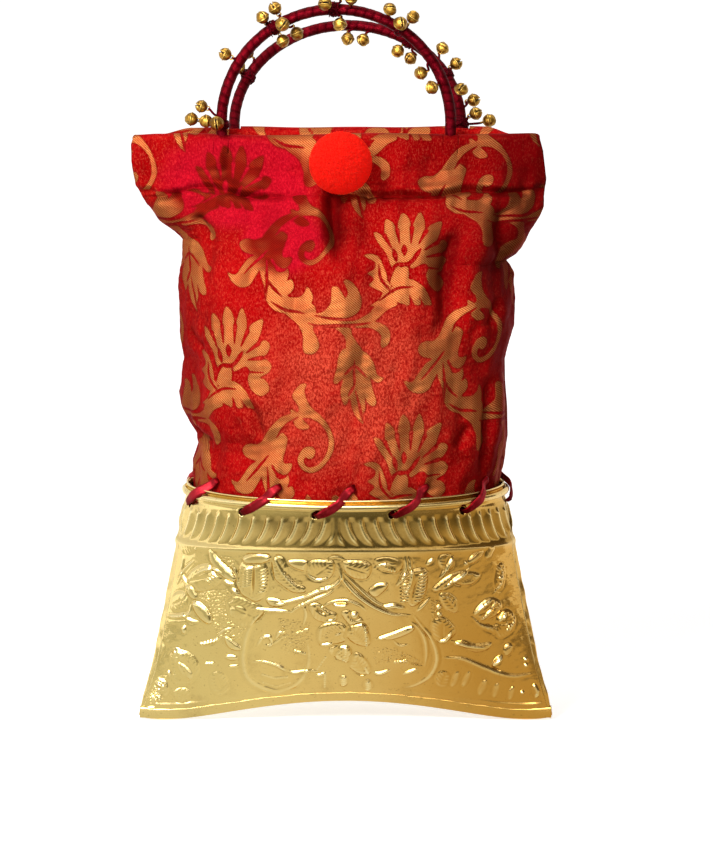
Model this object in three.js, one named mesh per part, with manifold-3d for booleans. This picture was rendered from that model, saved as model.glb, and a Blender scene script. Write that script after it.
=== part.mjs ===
// Potli handbag: a brass-sheet base pinched flat along its foot, a brocade
// sleeve laced to its rim with satin ribbon, a hemmed mouth with two hidden
// magnets and a felted pompom, and two ribbon-wrapped D-shaped handles carrying
// small brass bells. Millimetres, +Z up, front of the bag towards -Y.
// Origin: where a hand or hook carries it, over the middle of the bag and level
// with the top of the handles. Heights below are built up from the foot, and
// the whole bag is hung CARRY_Z under the origin.
import * as THREE from 'three'
import { mergeVertices } from 'three/addons/utils/BufferGeometryUtils.js'
import Module from 'manifold-3d'

const wasm = await Module()
wasm.setup()

// ---------------------------------------------------------------- dimensions
const RIM_A = 69.4 // half width of the brass rim, sheet middle
const RIM_B = 45.4 // half depth of the brass rim, sheet middle
const RIM_Z = 108.25 // height of the rim lip
const PANEL_H = 108.3 // slant height of the brass sheet, rim to foot
const SHEET = 0.9 // brass sheet thickness
const PINCH = 0.75 // half distance between the two sheets at the foot
const GUSSET_TOP = 7.75 // half width of the plain side gusset at the rim
const GUSSET_FOOT = 1.7 // half width of the side gusset at the foot
const BEAD_R = 1.1 // rim bead wire radius
const BEAD_DEPTH = 2.6 // rim bead below the lip
const HOLE_R = 2.0 // lacing hole radius in the brass
const HOLE_DEPTH = 6.2 // lacing hole centre below the lip
const STITCHES = 11 // whip stitches round the rim
const FIRST_HOLE = -12.9 // first lacing hole, arc length from the front middle
const LACE_R = 0.95 // radius of the rolled lacing ribbon
const CLOTH = 1.0 // brocade thickness
const LINING = 0.6 // lining thickness
const FOLD_Z = 171.75 // level where the sleeve starts to open
const HEM_Z = 264.0 // top of the hem
const CASING_END = 237.5 // lower end of the turned-in hem
const BAR_Y = 4.65 // handle bar axis, front and back of the middle plane
const BAR_Z = 257.5 // handle bar axis height
const RING_R = 49.5 // handle arch centreline radius
const LEG = 9.0 // straight leg above the bar axis
const CORE_R = 1.8 // handle core radius
const WRAP_IN = 2.1 // handle ribbon wrap, inner radius
const WRAP_R = 2.5 // handle ribbon wrap, outer radius
const FRONT_X = -4.0 // front handle's middle
const BACK_X = 1.0 // back handle's middle
const FRONT_LEAN = 6 // degrees forward at rest
const BACK_LEAN = 34 // degrees back at rest
const SLOT_HALF = 3.6 // half width of the casing slits that the legs pass
const BELL_R = 3.0 // bell radius
const BELL_RIDGE = 3.2 // bell radius at its seam ridge
const POM_R = 13.5 // pompom radius
const POM_D = 11.3 // pompom half depth
const POM_POS = [-2, -21, 250.6]
const MAGNET_R = 7.0
const MAGNET_T = 2.4
const CARRY_Z = 316 // height of the carrying point above the foot corners

const rad = THREE.MathUtils.degToRad
const V = (x, y, z) => new THREE.Vector3(x, y, z)
const lerp = (a, b, t) => a + (b - a) * t

// ------------------------------------------------------------------ materials
const mat = (color, roughness, metalness) =>
  new THREE.MeshStandardMaterial({ color, roughness, metalness })
const BRASS = () => mat(0xc9a44c, 0.3, 1)
const BELL_BRASS = () => mat(0xa98a36, 0.25, 1)
const BROCADE = () => mat(0xa8141c, 0.55, 0)
const LINING_M = () => mat(0x7a1018, 0.7, 0)
const SATIN = () => mat(0x6e0a18, 0.4, 0)
const THREAD = () => mat(0x3c0610, 0.8, 0)
const WOOL = () => mat(0xf21c10, 0.95, 0)
const CANE = () => mat(0x8a5a2c, 0.7, 0)
const STEEL = () => mat(0xb8bcc0, 0.35, 1)

// -------------------------------------------------------------- mesh building
function build(positions, triangles) {
  let volume = 0
  for (let i = 0; i < triangles.length; i += 3) {
    const [a, b, c] = [positions[triangles[i]], positions[triangles[i + 1]], positions[triangles[i + 2]]]
    volume += a.dot(b.clone().cross(c))
  }
  if (volume < 0)
    for (let i = 0; i < triangles.length; i += 3)
      [triangles[i + 1], triangles[i + 2]] = [triangles[i + 2], triangles[i + 1]]
  const g = new THREE.BufferGeometry()
  g.setAttribute('position', new THREE.Float32BufferAttribute(positions.flatMap((p) => [p.x, p.y, p.z]), 3))
  g.setIndex(triangles)
  return g
}

function normalOf(surface, u, v, sign) {
  const e = 1e-3
  const du = surface(u + e, v).sub(surface(u - e, v))
  const dv = surface(u, v + e).sub(surface(u, v - e))
  return du.cross(dv).normalize().multiplyScalar(sign)
}

// A sheet of constant thickness on both sides of surface(u, v), u and v from 0 to 1.
function sheet(surface, us, vs, out, inn, sign = 1) {
  const nu = us.length
  const nv = vs.length
  const P = []
  for (const side of [out, -inn])
    for (const v of vs)
      for (const u of us)
        P.push(surface(u, v).addScaledVector(normalOf(surface, u, v, sign), side))
  const T = []
  const id = (s, i, j) => s * nu * nv + j * nu + i
  const quad = (a, b, c, d) => T.push(a, b, c, a, c, d)
  for (let j = 0; j < nv - 1; j++)
    for (let i = 0; i < nu - 1; i++) {
      quad(id(0, i, j), id(0, i + 1, j), id(0, i + 1, j + 1), id(0, i, j + 1))
      quad(id(1, i, j), id(1, i, j + 1), id(1, i + 1, j + 1), id(1, i + 1, j))
    }
  for (let i = 0; i < nu - 1; i++) {
    quad(id(0, i, 0), id(1, i, 0), id(1, i + 1, 0), id(0, i + 1, 0))
    quad(id(0, i, nv - 1), id(0, i + 1, nv - 1), id(1, i + 1, nv - 1), id(1, i, nv - 1))
  }
  for (let j = 0; j < nv - 1; j++) {
    quad(id(0, 0, j), id(0, 0, j + 1), id(1, 0, j + 1), id(1, 0, j))
    quad(id(0, nu - 1, j), id(1, nu - 1, j), id(1, nu - 1, j + 1), id(0, nu - 1, j + 1))
  }
  return build(P, T)
}

// A solid swept through a list of closed sections (same point count), open-ended or as a ring.
function sweep(sections, ring, caps) {
  const n = sections[0].length
  const P = sections.flat()
  const T = []
  const last = ring ? sections.length : sections.length - 1
  for (let k = 0; k < last; k++)
    for (let i = 0; i < n; i++) {
      const a = k * n + i
      const b = k * n + ((i + 1) % n)
      const c = ((k + 1) % sections.length) * n + i
      const d = ((k + 1) % sections.length) * n + ((i + 1) % n)
      T.push(a, b, d, a, d, c)
    }
  if (!ring) {
    const base = (sections.length - 1) * n
    for (const [a, b, c] of caps) {
      T.push(a, c, b)
      T.push(base + a, base + b, base + c)
    }
  }
  return build(P, T)
}
const fan = (n) => Array.from({ length: n - 2 }, (_, i) => [0, i + 1, i + 2])

// Round rod of radius r through points lying in the XZ plane.
function rodSections(points, r, n, ring) {
  return points.map((p, k) => {
    const a = points[ring ? (k - 1 + points.length) % points.length : Math.max(k - 1, 0)]
    const b = points[ring ? (k + 1) % points.length : Math.min(k + 1, points.length - 1)]
    const t = b.clone().sub(a).normalize()
    const side = V(-t.z, 0, t.x)
    return Array.from({ length: n }, (_, i) => {
      const w = (2 * Math.PI * (i + 0.5)) / n
      return p.clone().addScaledVector(side, r * Math.cos(w)).addScaledVector(V(0, 1, 0), r * Math.sin(w))
    })
  })
}

// Sleeve between two rod surfaces, open at both ends.
function sleeve(points, rOut, rIn, n) {
  const outer = rodSections(points, rOut, n, false)
  const inner = rodSections(points, rIn, n, false)
  const m = points.length
  const P = [...outer.flat(), ...inner.flat()]
  const T = []
  const o = (k, i) => k * n + (i % n)
  const q = (k, i) => m * n + k * n + (i % n)
  for (let k = 0; k < m - 1; k++)
    for (let i = 0; i < n; i++) {
      T.push(o(k, i), o(k, i + 1), o(k + 1, i + 1), o(k, i), o(k + 1, i + 1), o(k + 1, i))
      T.push(q(k, i), q(k + 1, i + 1), q(k, i + 1), q(k, i), q(k + 1, i), q(k + 1, i + 1))
    }
  for (let i = 0; i < n; i++) {
    T.push(o(0, i), q(0, i + 1), o(0, i + 1), o(0, i), q(0, i), q(0, i + 1))
    T.push(o(m - 1, i), o(m - 1, i + 1), q(m - 1, i + 1), o(m - 1, i), q(m - 1, i + 1), q(m - 1, i))
  }
  return build(P, T)
}

function solid(geometry) {
  let g = geometry.clone()
  g.deleteAttribute('normal')
  g.deleteAttribute('uv')
  g = mergeVertices(g, 1e-5)
  return new wasm.Manifold(
    new wasm.Mesh({
      numProp: 3,
      vertProperties: new Float32Array(g.attributes.position.array),
      triVerts: new Uint32Array(g.index.array),
    }),
  )
}

function cut(geometry, tools) {
  let body = solid(geometry)
  for (const t of tools) body = body.subtract(solid(t))
  const m = body.getMesh()
  const g = new THREE.BufferGeometry()
  g.setAttribute('position', new THREE.Float32BufferAttribute(m.vertProperties, 3))
  g.setIndex(Array.from(m.triVerts))
  return g
}

const spread = (n, a = 0, b = 1) => Array.from({ length: n + 1 }, (_, i) => lerp(a, b, i / n))

// ------------------------------------------------- brass base: ruled surface
// The rim is an ellipse and the foot a thin stadium of the same girth, joined
// by straight rulings of equal length, as a flat sheet bends.
const STEPS = 1440
const table = [0]
for (let i = 1; i <= STEPS; i++) {
  const t0 = (Math.PI / 2) * ((i - 1) / STEPS)
  const t1 = (Math.PI / 2) * (i / STEPS)
  table.push(
    table[i - 1] +
      Math.hypot(RIM_A * (Math.sin(t1) - Math.sin(t0)), RIM_B * (Math.cos(t1) - Math.cos(t0))),
  )
}
const QUARTER = table[STEPS] // a quarter of the girth
const GIRTH = 4 * QUARTER

function angleAt(s) {
  // ellipse angle for arc length s from the front middle, s from 0 to QUARTER
  let lo = 0
  let hi = STEPS
  while (hi - lo > 1) {
    const mid = (lo + hi) >> 1
    if (table[mid] <= s) lo = mid
    else hi = mid
  }
  const f = (s - table[lo]) / (table[hi] - table[lo])
  return ((Math.PI / 2) * (lo + f)) / STEPS
}

// Folds any arc length to the first quarter and gives the signs of x and y.
function quarter(s) {
  let t = ((s % GIRTH) + GIRTH) % GIRTH
  let sx = 1
  let sy = -1
  if (t > 2 * QUARTER) {
    t = GIRTH - t
    sx = -1
  }
  if (t > QUARTER) {
    t = 2 * QUARTER - t
    sy = 1
  }
  return [Math.min(Math.max(t, 0), QUARTER), sx, sy]
}

function rimPoint(s) {
  const [t, sx, sy] = quarter(s)
  const a = angleAt(t)
  return V(sx * RIM_A * Math.sin(a), sy * RIM_B * Math.cos(a), RIM_Z)
}

const FOOT_FLAT = QUARTER - (Math.PI * PINCH) / 2
function footPoint(s) {
  const [t, sx, sy] = quarter(s)
  let x = t
  let y = PINCH
  if (t > FOOT_FLAT) {
    const w = (t - FOOT_FLAT) / PINCH
    x = FOOT_FLAT + PINCH * Math.sin(w)
    y = PINCH * Math.cos(w)
  }
  const r = rimPoint(s)
  const dx = Math.abs(r.x) - x
  const dy = Math.abs(r.y) - y
  return V(sx * x, sy * y, RIM_Z - Math.sqrt(PANEL_H ** 2 - dx * dx - dy * dy))
}

// s: arc length from the front middle; d: distance down the sheet from the lip.
function brass(s, d) {
  const r = rimPoint(s)
  return r.lerp(footPoint(s), d / PANEL_H)
}
function brassNormal(s, d) {
  const e = 0.05
  const du = brass(s + e, d).sub(brass(s - e, d))
  const dv = brass(s, d - e).sub(brass(s, d + e))
  return du.cross(dv).normalize()
}

const edgeAt = (v) => QUARTER - lerp(GUSSET_TOP, GUSSET_FOOT, v)
const GAP = 0.15
const panelSurface = (middle) => (u, v) => brass(middle + (2 * u - 1) * (edgeAt(v) - GAP), v * PANEL_H)
const gussetSurface = (middle) => (u, v) =>
  brass(middle + (2 * u - 1) * (lerp(GUSSET_TOP, GUSSET_FOOT, v) - GAP), v * PANEL_H)

const holes = Array.from({ length: STITCHES }, (_, k) => FIRST_HOLE + (GIRTH * k) / STITCHES)
const drill = (s) => {
  const g = new THREE.CylinderGeometry(HOLE_R, HOLE_R, 6, 8)
  const q = new THREE.Quaternion().setFromUnitVectors(V(0, 1, 0), brassNormal(s, HOLE_DEPTH))
  g.applyQuaternion(q)
  const p = brass(s, HOLE_DEPTH)
  g.translate(p.x, p.y, p.z)
  return g
}
const holesBetween = (lo, hi) =>
  holes.filter((s) => [s - GIRTH, s, s + GIRTH].some((t) => t > lo && t < hi)).map(drill)

const PANEL_U = spread(22)
const PANEL_V = [0, 0.35, 0.75, 1]
const h2 = SHEET / 2
const brassFront = cut(sheet(panelSurface(0), PANEL_U, PANEL_V, h2, h2, -1), holesBetween(-QUARTER + GUSSET_TOP, QUARTER - GUSSET_TOP))
const brassBack = cut(
  sheet(panelSurface(2 * QUARTER), PANEL_U, PANEL_V, h2, h2, -1),
  holesBetween(QUARTER + GUSSET_TOP, 3 * QUARTER - GUSSET_TOP),
)
const GUSSET_U = [0, 0.18, 0.34, 0.5, 0.66, 0.82, 1]
const gussetRight = cut(
  sheet(gussetSurface(QUARTER), GUSSET_U, PANEL_V, h2, h2, -1),
  holesBetween(QUARTER - GUSSET_TOP, QUARTER + GUSSET_TOP),
)
const gussetLeft = cut(
  sheet(gussetSurface(-QUARTER), GUSSET_U, PANEL_V, h2, h2, -1),
  holesBetween(-QUARTER - GUSSET_TOP, -QUARTER + GUSSET_TOP),
)

// Rim bead: a wire ring round the outside, just under the lip.
const beadRing = []
for (let k = 0; k < 44; k++) {
  const s = (GIRTH * k) / 44
  const n = brassNormal(s, BEAD_DEPTH)
  const c = brass(s, BEAD_DEPTH).addScaledVector(n, h2 + 0.3 + BEAD_R)
  const t = brass(s + 0.1, BEAD_DEPTH).sub(brass(s - 0.1, BEAD_DEPTH)).normalize()
  const b = t.clone().cross(n)
  beadRing.push(
    Array.from({ length: 6 }, (_, i) => {
      const w = (2 * Math.PI * i) / 6
      return c.clone().addScaledVector(n, BEAD_R * Math.cos(w)).addScaledVector(b, BEAD_R * Math.sin(w))
    }),
  )
}
const rimBead = sweep(beadRing, true)

// Foot strip: a folded channel over the pinched edge, splayed with the sheets.
const STRIP_H = 3.4
const STRIP_GAP = h2 + 0.3
const STRIP_OUT = STRIP_GAP + 0.7
const footSections = []
const FOOT_END = FOOT_FLAT - 0.2
const FOOT_TIP = QUARTER + 0.6
const stations = [-FOOT_TIP, ...spread(22, -FOOT_END, FOOT_END), FOOT_TIP]
for (const at_x of stations) {
  // past the flat part the channel runs straight on over the folded edge
  const x = Math.min(Math.max(at_x, -FOOT_END), FOOT_END)
  const up = brass(x, PANEL_H - STRIP_H)
  const low = brass(x, PANEL_H)
  const side = up.clone().sub(low).setX(0).normalize() // up the front sheet, in the YZ plane
  const n = V(0, -side.z, side.y) // out of the front sheet
  if (n.y > 0) n.negate()
  const at = (p, off) => V(x, p.y + n.y * off, p.z + n.z * off)
  const inner = [at(up, STRIP_GAP), at(low, STRIP_GAP)]
  const outer = [at(up, STRIP_OUT), at(low, STRIP_OUT)]
  const floorIn = low.z - 0.35
  const floorOut = low.z - 1.15
  const half = [
    outer[0],
    outer[1],
    V(x, outer[1].y + 0.75, floorOut),
  ]
  const halfIn = [V(x, inner[1].y + 0.25, floorIn), inner[1], inner[0]]
  const mirror = (p) => V(p.x, -p.y, p.z)
  footSections.push(
    [
      ...half,
      ...half.slice().reverse().map(mirror),
      ...halfIn.slice().reverse().map(mirror),
      ...halfIn,
    ].map((p) => V(p.x + at_x - x, p.y, p.z)),
  )
}
const capShape = footSections[0].map((p) => new THREE.Vector2(p.y, p.z))
const footCaps = THREE.ShapeUtils.triangulateShape(capShape, [])
const footStrip = sweep(footSections, false, footCaps)

// --------------------------------------------------- brocade sleeve and hem
// z, half width, half depth, edge offset, squareness q and r of the section
const SLEEVE = [
  [104.0, 66.4, 41.0, 0.3, 2, 0.5],
  [108.5, 66.6, 41.6, 0.3, 2, 0.5],
  [114, 66.8, 41.8, 0.3, 2, 0.5],
  [125, 67.4, 41.5, 0.3, 2, 0.5],
  [145, 70.8, 41.0, 0.3, 2, 0.5],
  [171.75, 71.6, 40.5, 0.3, 2, 0.5],
  [190, 72.4, 38.4, 0.3, 2.05, 0.52],
  [205, 73.4, 34.6, 0.4, 2.15, 0.55],
  [214, 76.2, 29.6, 0.6, 2.4, 0.6],
  [224, 81.2, 21.6, 1.1, 3.0, 0.7],
  [235, 87.4, 12.0, 2.2, 4.2, 0.85],
  [246, 90.4, 5.6, 3.0, 6, 1],
  [264, 91.0, 4.9, 3.0, 6, 1],
]
function sleeveRow(z) {
  let i = 0
  while (i < SLEEVE.length - 2 && SLEEVE[i + 1][0] < z) i++
  const [p, q] = [SLEEVE[i], SLEEVE[i + 1]]
  const t = Math.min(Math.max((z - p[0]) / (q[0] - p[0]), 0), 1)
  return p.map((v, k) => lerp(v, q[k], t))
}
// w from -1 (left seam) to 1 (right seam)
function sleevePoint(w, z) {
  const [, a, b, e, q, r] = sleeveRow(z)
  const s = Math.sin((Math.PI / 2) * w)
  const c = Math.pow(Math.max(1 - Math.pow(Math.abs(s), q), 0), r)
  return V(a * s, -(e + b * c), z)
}
const sleeveU = spread(18) // even in angle

const lowerSurface = (u, v) => {
  const w = Math.min(Math.max(2 * u - 1, -1), 1)
  return sleevePoint(w, lerp(RIM_Z - 3, FOLD_Z - 0.3, v))
}
// Near the seams the section meets the side plane square on, so the edge
// normal is taken along X.
function sheetEdge(surface, us, vs, out, inn, seam) {
  const nu = us.length
  const P = []
  for (const side of [out, -inn])
    for (const v of vs)
      us.forEach((u, i) => {
        let n = normalOf(surface, Math.min(Math.max(u, 0.004), 0.996), v, -1)
        if ((i === 0 || i === nu - 1) && seam(v)) n = V(i === 0 ? -1 : 1, 0, 0)
        P.push(surface(u, v).addScaledVector(n, side))
      })
  const ghost = sheet(surface, us, vs, out, inn, -1)
  const order = Array.from(ghost.index.array)
  return build(P, order)
}
const LOWER_V = [0, 0.13, 0.3, 0.6, 1]
const lowerFront = sheetEdge(lowerSurface, sleeveU, LOWER_V, CLOTH / 2, CLOTH / 2, () => true)

function mirrorY(g) {
  const m = g.clone()
  m.scale(1, -1, 1)
  const ix = Array.from(m.index.array)
  for (let i = 0; i < ix.length; i += 3) [ix[i + 1], ix[i + 2]] = [ix[i + 2], ix[i + 1]]
  m.setIndex(ix)
  return m
}

// Slits in the cloth where the lacing passes through it.
const SLIT_S = 16.8
const SLIT_UP = 5.6
const clothAt = (s, z) => {
  const [t, sx, sy] = quarter(s)
  const [, a, b, e] = sleeveRow(z)
  const w = angleAt(t)
  return V(sx * a * Math.sin(w), sy * (e + b * Math.cos(w)), z)
}
const outAt = (s) => {
  const e = 0.05
  const t = rimPoint(s + e).sub(rimPoint(s - e)).normalize()
  return V(t.y, -t.x, 0)
}
const slits = holes.map((s) => {
  const at = s + SLIT_S
  const p = clothAt(at, RIM_Z + SLIT_UP)
  const n = outAt(at)
  const g = new THREE.BoxGeometry(5.2, 6, 3.4)
  g.rotateZ(Math.atan2(-n.x, n.y))
  g.translate(p.x, p.y, p.z)
  return { g, y: p.y }
})
const lowerFrontCut = cut(lowerFront, slits.filter((t) => t.y < 0).map((t) => t.g))
const lowerBackCut = cut(mirrorY(lowerFront), slits.filter((t) => t.y > 0).map((t) => t.g))

// Upper panel: up the outside, over the hem fold and down the inside.
const FACE_Y = 1.3
const UPPER_T = []
{
  const outerZ = [FOLD_Z + 0.3, 190, 205, 214, 224, 235, 246]
  outerZ.forEach((z) => UPPER_T.push({ kind: 'out', z }))
  for (const a of [0, 45, 90, 135, 180]) UPPER_T.push({ kind: 'arc', a })
  for (const z of [250, CASING_END]) UPPER_T.push({ kind: 'in', z })
}
function upperRow(w, row) {
  const top = sleevePoint(w, HEM_Z)
  const r = (Math.abs(top.y) - FACE_Y) / 2
  const zc = HEM_Z - CLOTH / 2 - r
  if (row.kind === 'out') return sleevePoint(w, row.z)
  if (row.kind === 'arc') {
    const a = rad(row.a)
    return V(top.x, -(FACE_Y + r + r * Math.cos(a)), zc + r * Math.sin(a))
  }
  const out = sleevePoint(w, row.z)
  return V(Math.abs(out.x) < Math.abs(top.x) ? out.x : top.x, -FACE_Y, row.z)
}
function foldedPanel(us, rows, half) {
  const nu = us.length
  const nv = rows.length
  const mid = rows.map((row) => us.map((u) => upperRow(2 * u - 1, row)))
  const P = [[], []]
  for (let j = 0; j < nv; j++)
    for (let i = 0; i < nu; i++) {
      const du = mid[j][Math.min(i + 1, nu - 1)].clone().sub(mid[j][Math.max(i - 1, 0)])
      const dv = mid[Math.min(j + 1, nv - 1)][i].clone().sub(mid[Math.max(j - 1, 0)][i])
      let n = du.cross(dv).normalize()
      if (rows[j].kind === 'out' && (i === 0 || i === nu - 1)) {
        const f = Math.min(Math.max((rows[j].z - 214) / 30, 0), 1)
        n = V(i === 0 ? -1 : 1, 0, 0).lerp(V(0, -1, 0), f).normalize()
      } else if (rows[j].kind === 'in') n = V(0, 1, 0)
      else if (rows[j].kind === 'arc') {
        const a = rad(rows[j].a)
        n = V(0, -Math.cos(a), Math.sin(a))
      }
      P[0].push(mid[j][i].clone().addScaledVector(n, half))
      P[1].push(mid[j][i].clone().addScaledVector(n, -half))
    }
  const T = []
  const id = (s, i, j) => s * nu * nv + j * nu + i
  const quad = (a, b, c, d) => T.push(a, b, c, a, c, d)
  for (let j = 0; j < nv - 1; j++)
    for (let i = 0; i < nu - 1; i++) {
      quad(id(0, i, j), id(0, i + 1, j), id(0, i + 1, j + 1), id(0, i, j + 1))
      quad(id(1, i, j), id(1, i, j + 1), id(1, i + 1, j + 1), id(1, i + 1, j))
    }
  for (let i = 0; i < nu - 1; i++) {
    quad(id(0, i, 0), id(1, i, 0), id(1, i + 1, 0), id(0, i + 1, 0))
    quad(id(0, i, nv - 1), id(0, i + 1, nv - 1), id(1, i + 1, nv - 1), id(1, i, nv - 1))
  }
  for (let j = 0; j < nv - 1; j++) {
    quad(id(0, 0, j), id(0, 0, j + 1), id(1, 0, j + 1), id(1, 0, j))
    quad(id(0, nu - 1, j), id(1, nu - 1, j), id(1, nu - 1, j + 1), id(0, nu - 1, j + 1))
  }
  return build([...P[0], ...P[1]], T)
}
const upperFront = foldedPanel(spread(18), UPPER_T, CLOTH / 2)
const slot = (x) => {
  const g = new THREE.BoxGeometry(2 * SLOT_HALF, 12, 13)
  g.translate(x, -5, 253.2 + 6.5)
  return g
}
const upperFrontCut = cut(upperFront, [slot(FRONT_X - RING_R), slot(FRONT_X + RING_R)])
const upperBackCut = mirrorY(cut(upperFront, [slot(BACK_X - RING_R), slot(BACK_X + RING_R)]))

// Upper lining: a thin sheet inside each upper panel, below the hem facing.
const LINE_OFF = CLOTH / 2 + 0.6 + LINING / 2
const liningSurface = (u, v) => {
  const z = lerp(FOLD_Z + 1.0, CASING_END - 1.2, v)
  const w = Math.min(Math.max(2 * u - 1, -1), 1) * 0.955
  const p = sleevePoint(w, z)
  const e = 1e-3
  const du = sleevePoint(w + e, z).sub(sleevePoint(w - e, z))
  const dv = sleevePoint(w, z + 0.05).sub(sleevePoint(w, z - 0.05))
  return p.addScaledVector(du.cross(dv).normalize(), -LINE_OFF)
}
const liningUpper = sheet(liningSurface, spread(18), [0, 0.28, 0.51, 0.65, 0.8, 1], LINING / 2, LINING / 2, 1)

// Lower lining: one pocket, open at the top, hanging inside the brass base.
const LINE_ROWS = [
  { z: FOLD_Z - 0.9, cloth: 1.5 },
  { z: 145, cloth: 1.9 },
  { z: 122, cloth: 4.0 },
  { d: 2, off: -7.0 },
  { d: 14, off: -6.0 },
  { d: 45, off: -4.0 },
  { d: 75, off: -3.0 },
  { d: 93, off: -2.1 },
]
const LINE_N = 28
function liningLoop(row, shift) {
  return Array.from({ length: LINE_N }, (_, i) => {
    const s = (GIRTH * i) / LINE_N
    if (row.cloth !== undefined) {
      const n = outAt(s)
      return clothAt(s, row.z).addScaledVector(n, -row.cloth - shift)
    }
    return brass(s, row.d).addScaledVector(brassNormal(s, row.d), row.off - shift)
  })
}
const liningLower = (() => {
  const outer = LINE_ROWS.map((r) => liningLoop(r, 0))
  const inner = LINE_ROWS.map((r) => liningLoop(r, LINING))
  inner[inner.length - 1] = inner[inner.length - 1].map((p) => p.clone().setZ(p.z + 0.8))
  const m = LINE_ROWS.length
  const P = [...outer.flat(), ...inner.flat()]
  const T = []
  const o = (k, i) => k * LINE_N + (i % LINE_N)
  const q = (k, i) => m * LINE_N + k * LINE_N + (i % LINE_N)
  for (let k = 0; k < m - 1; k++)
    for (let i = 0; i < LINE_N; i++) {
      T.push(o(k, i), o(k, i + 1), o(k + 1, i + 1), o(k, i), o(k + 1, i + 1), o(k + 1, i))
      T.push(q(k, i), q(k + 1, i + 1), q(k, i + 1), q(k, i), q(k + 1, i), q(k + 1, i + 1))
    }
  for (let i = 0; i < LINE_N; i++)
    T.push(o(0, i), q(0, i + 1), o(0, i + 1), o(0, i), q(0, i), q(0, i + 1))
  // floors, front point to the back point facing it
  const half = LINE_N / 2
  const pair = (i) => [i, (LINE_N - i + half) % LINE_N]
  const floorOf = (f, flip) => {
    for (let i = -LINE_N / 4; i < LINE_N / 4; i++) {
      const a = (i + LINE_N) % LINE_N
      const b = (i + 1 + LINE_N) % LINE_N
      const a2 = pair(a)[1]
      const b2 = pair(b)[1]
      const tri = []
      if (a !== a2) tri.push([a, b, a2])
      if (b !== b2) tri.push([b, b2, a2])
      for (const [x, y, z] of tri) flip ? T.push(f(m - 1, x), f(m - 1, z), f(m - 1, y)) : T.push(f(m - 1, x), f(m - 1, y), f(m - 1, z))
    }
  }
  floorOf(o, false)
  floorOf(q, true)
  return build(P, T)
})()

// ------------------------------------------------------------------- lacing
// One ribbon, rolled as it is pulled through: out of each brass hole, over the
// bead and the lip, into the cloth, and down inside to the next hole.
const lacePoints = []
holes.forEach((s, k) => {
  const onBrass = (ds, d, off) =>
    lacePoints.push(brass(s + ds, d).addScaledVector(brassNormal(s + ds, Math.max(d, 0.2)), off))
  const onCloth = (ds, up, off) =>
    lacePoints.push(clothAt(s + ds, RIM_Z + up).addScaledVector(outAt(s + ds), off))
  if (k === 0) onBrass(-3.0, 6.2, -4.2)
  onBrass(0, HOLE_DEPTH, -2.2)
  onBrass(0, HOLE_DEPTH, 1.8)
  onBrass(2.2, 5.6, 3.4)
  onBrass(6.2, BEAD_DEPTH, 4.5)
  onBrass(9.6, 0, 3.4)
  onCloth(13.2, 3.2, 3.4)
  onCloth(SLIT_S, SLIT_UP, 1.4)
  onCloth(SLIT_S, SLIT_UP, -1.8)
  onCloth(SLIT_S + 4.4, 2.8, -2.5)
  onCloth(SLIT_S + 9.0, -1.4, -2.5)
  if (k < STITCHES - 1) onBrass(GIRTH / STITCHES - 3.0, 6.0, -4.2)
})
const laceCurve = new THREE.CatmullRomCurve3(lacePoints, false, 'centripetal')
const laceShape = new THREE.Shape(
  Array.from({ length: 5 }, (_, i) => {
    const w = (2 * Math.PI * i) / 5
    return new THREE.Vector2(LACE_R * Math.cos(w), LACE_R * Math.sin(w))
  }),
)
const lacing = new THREE.ExtrudeGeometry(laceShape, { steps: 138, extrudePath: laceCurve, bevelEnabled: false })

// ------------------------------------------------------------------ handles
const arch = (from, steps) => {
  const pts = [V(-RING_R, 0, from)]
  for (let i = 0; i <= steps; i++) {
    const a = Math.PI * (1 - i / steps)
    pts.push(V(RING_R * Math.cos(a), 0, LEG + RING_R * Math.sin(a)))
  }
  pts.push(V(RING_R, 0, from))
  return pts
}
const FILLET = 4
const corePath = (() => {
  const pts = arch(FILLET, 20)
  const corner = (cx, sgn) =>
    [0.25, 0.5, 0.75, 1].map((t) => {
      const a = (Math.PI / 2) * t
      return V(cx + sgn * FILLET * Math.cos(a), 0, FILLET - FILLET * Math.sin(a))
    })
  pts.push(...corner(RING_R - FILLET, 1))
  pts.push(V(0, 0, 0))
  pts.push(...corner(-RING_R + FILLET, -1).reverse())
  return pts
})()
const handleCore = () => sweep(rodSections(corePath, CORE_R, 6, true), true)
const handleWrap = () => sleeve(arch(5.2, 20), WRAP_R, WRAP_IN, 8)

function tie(x, h) {
  // collar of thread round the rod at the arch point nearest to (x, h)
  const a = Math.atan2(Math.max(h - LEG, 0), x)
  const c = h < LEG ? V(Math.sign(x) * RING_R, 0, h) : V(RING_R * Math.cos(a), 0, LEG + RING_R * Math.sin(a))
  const t = h < LEG ? V(0, 0, 1) : V(-Math.sin(a), 0, Math.cos(a))
  return sleeve([c.clone().addScaledVector(t, -1.2), c.clone().addScaledVector(t, 1.2)], 3.4, 2.8, 8)
}

function bell() {
  const profile = [
    [0, -BELL_R],
    [2.3, -2.0],
    [BELL_RIDGE, 0],
    [2.3, 2.0],
    [0, BELL_R],
  ].map(([x, y]) => new THREE.Vector2(x, y))
  return new THREE.LatheGeometry(profile, 8)
}

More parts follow.
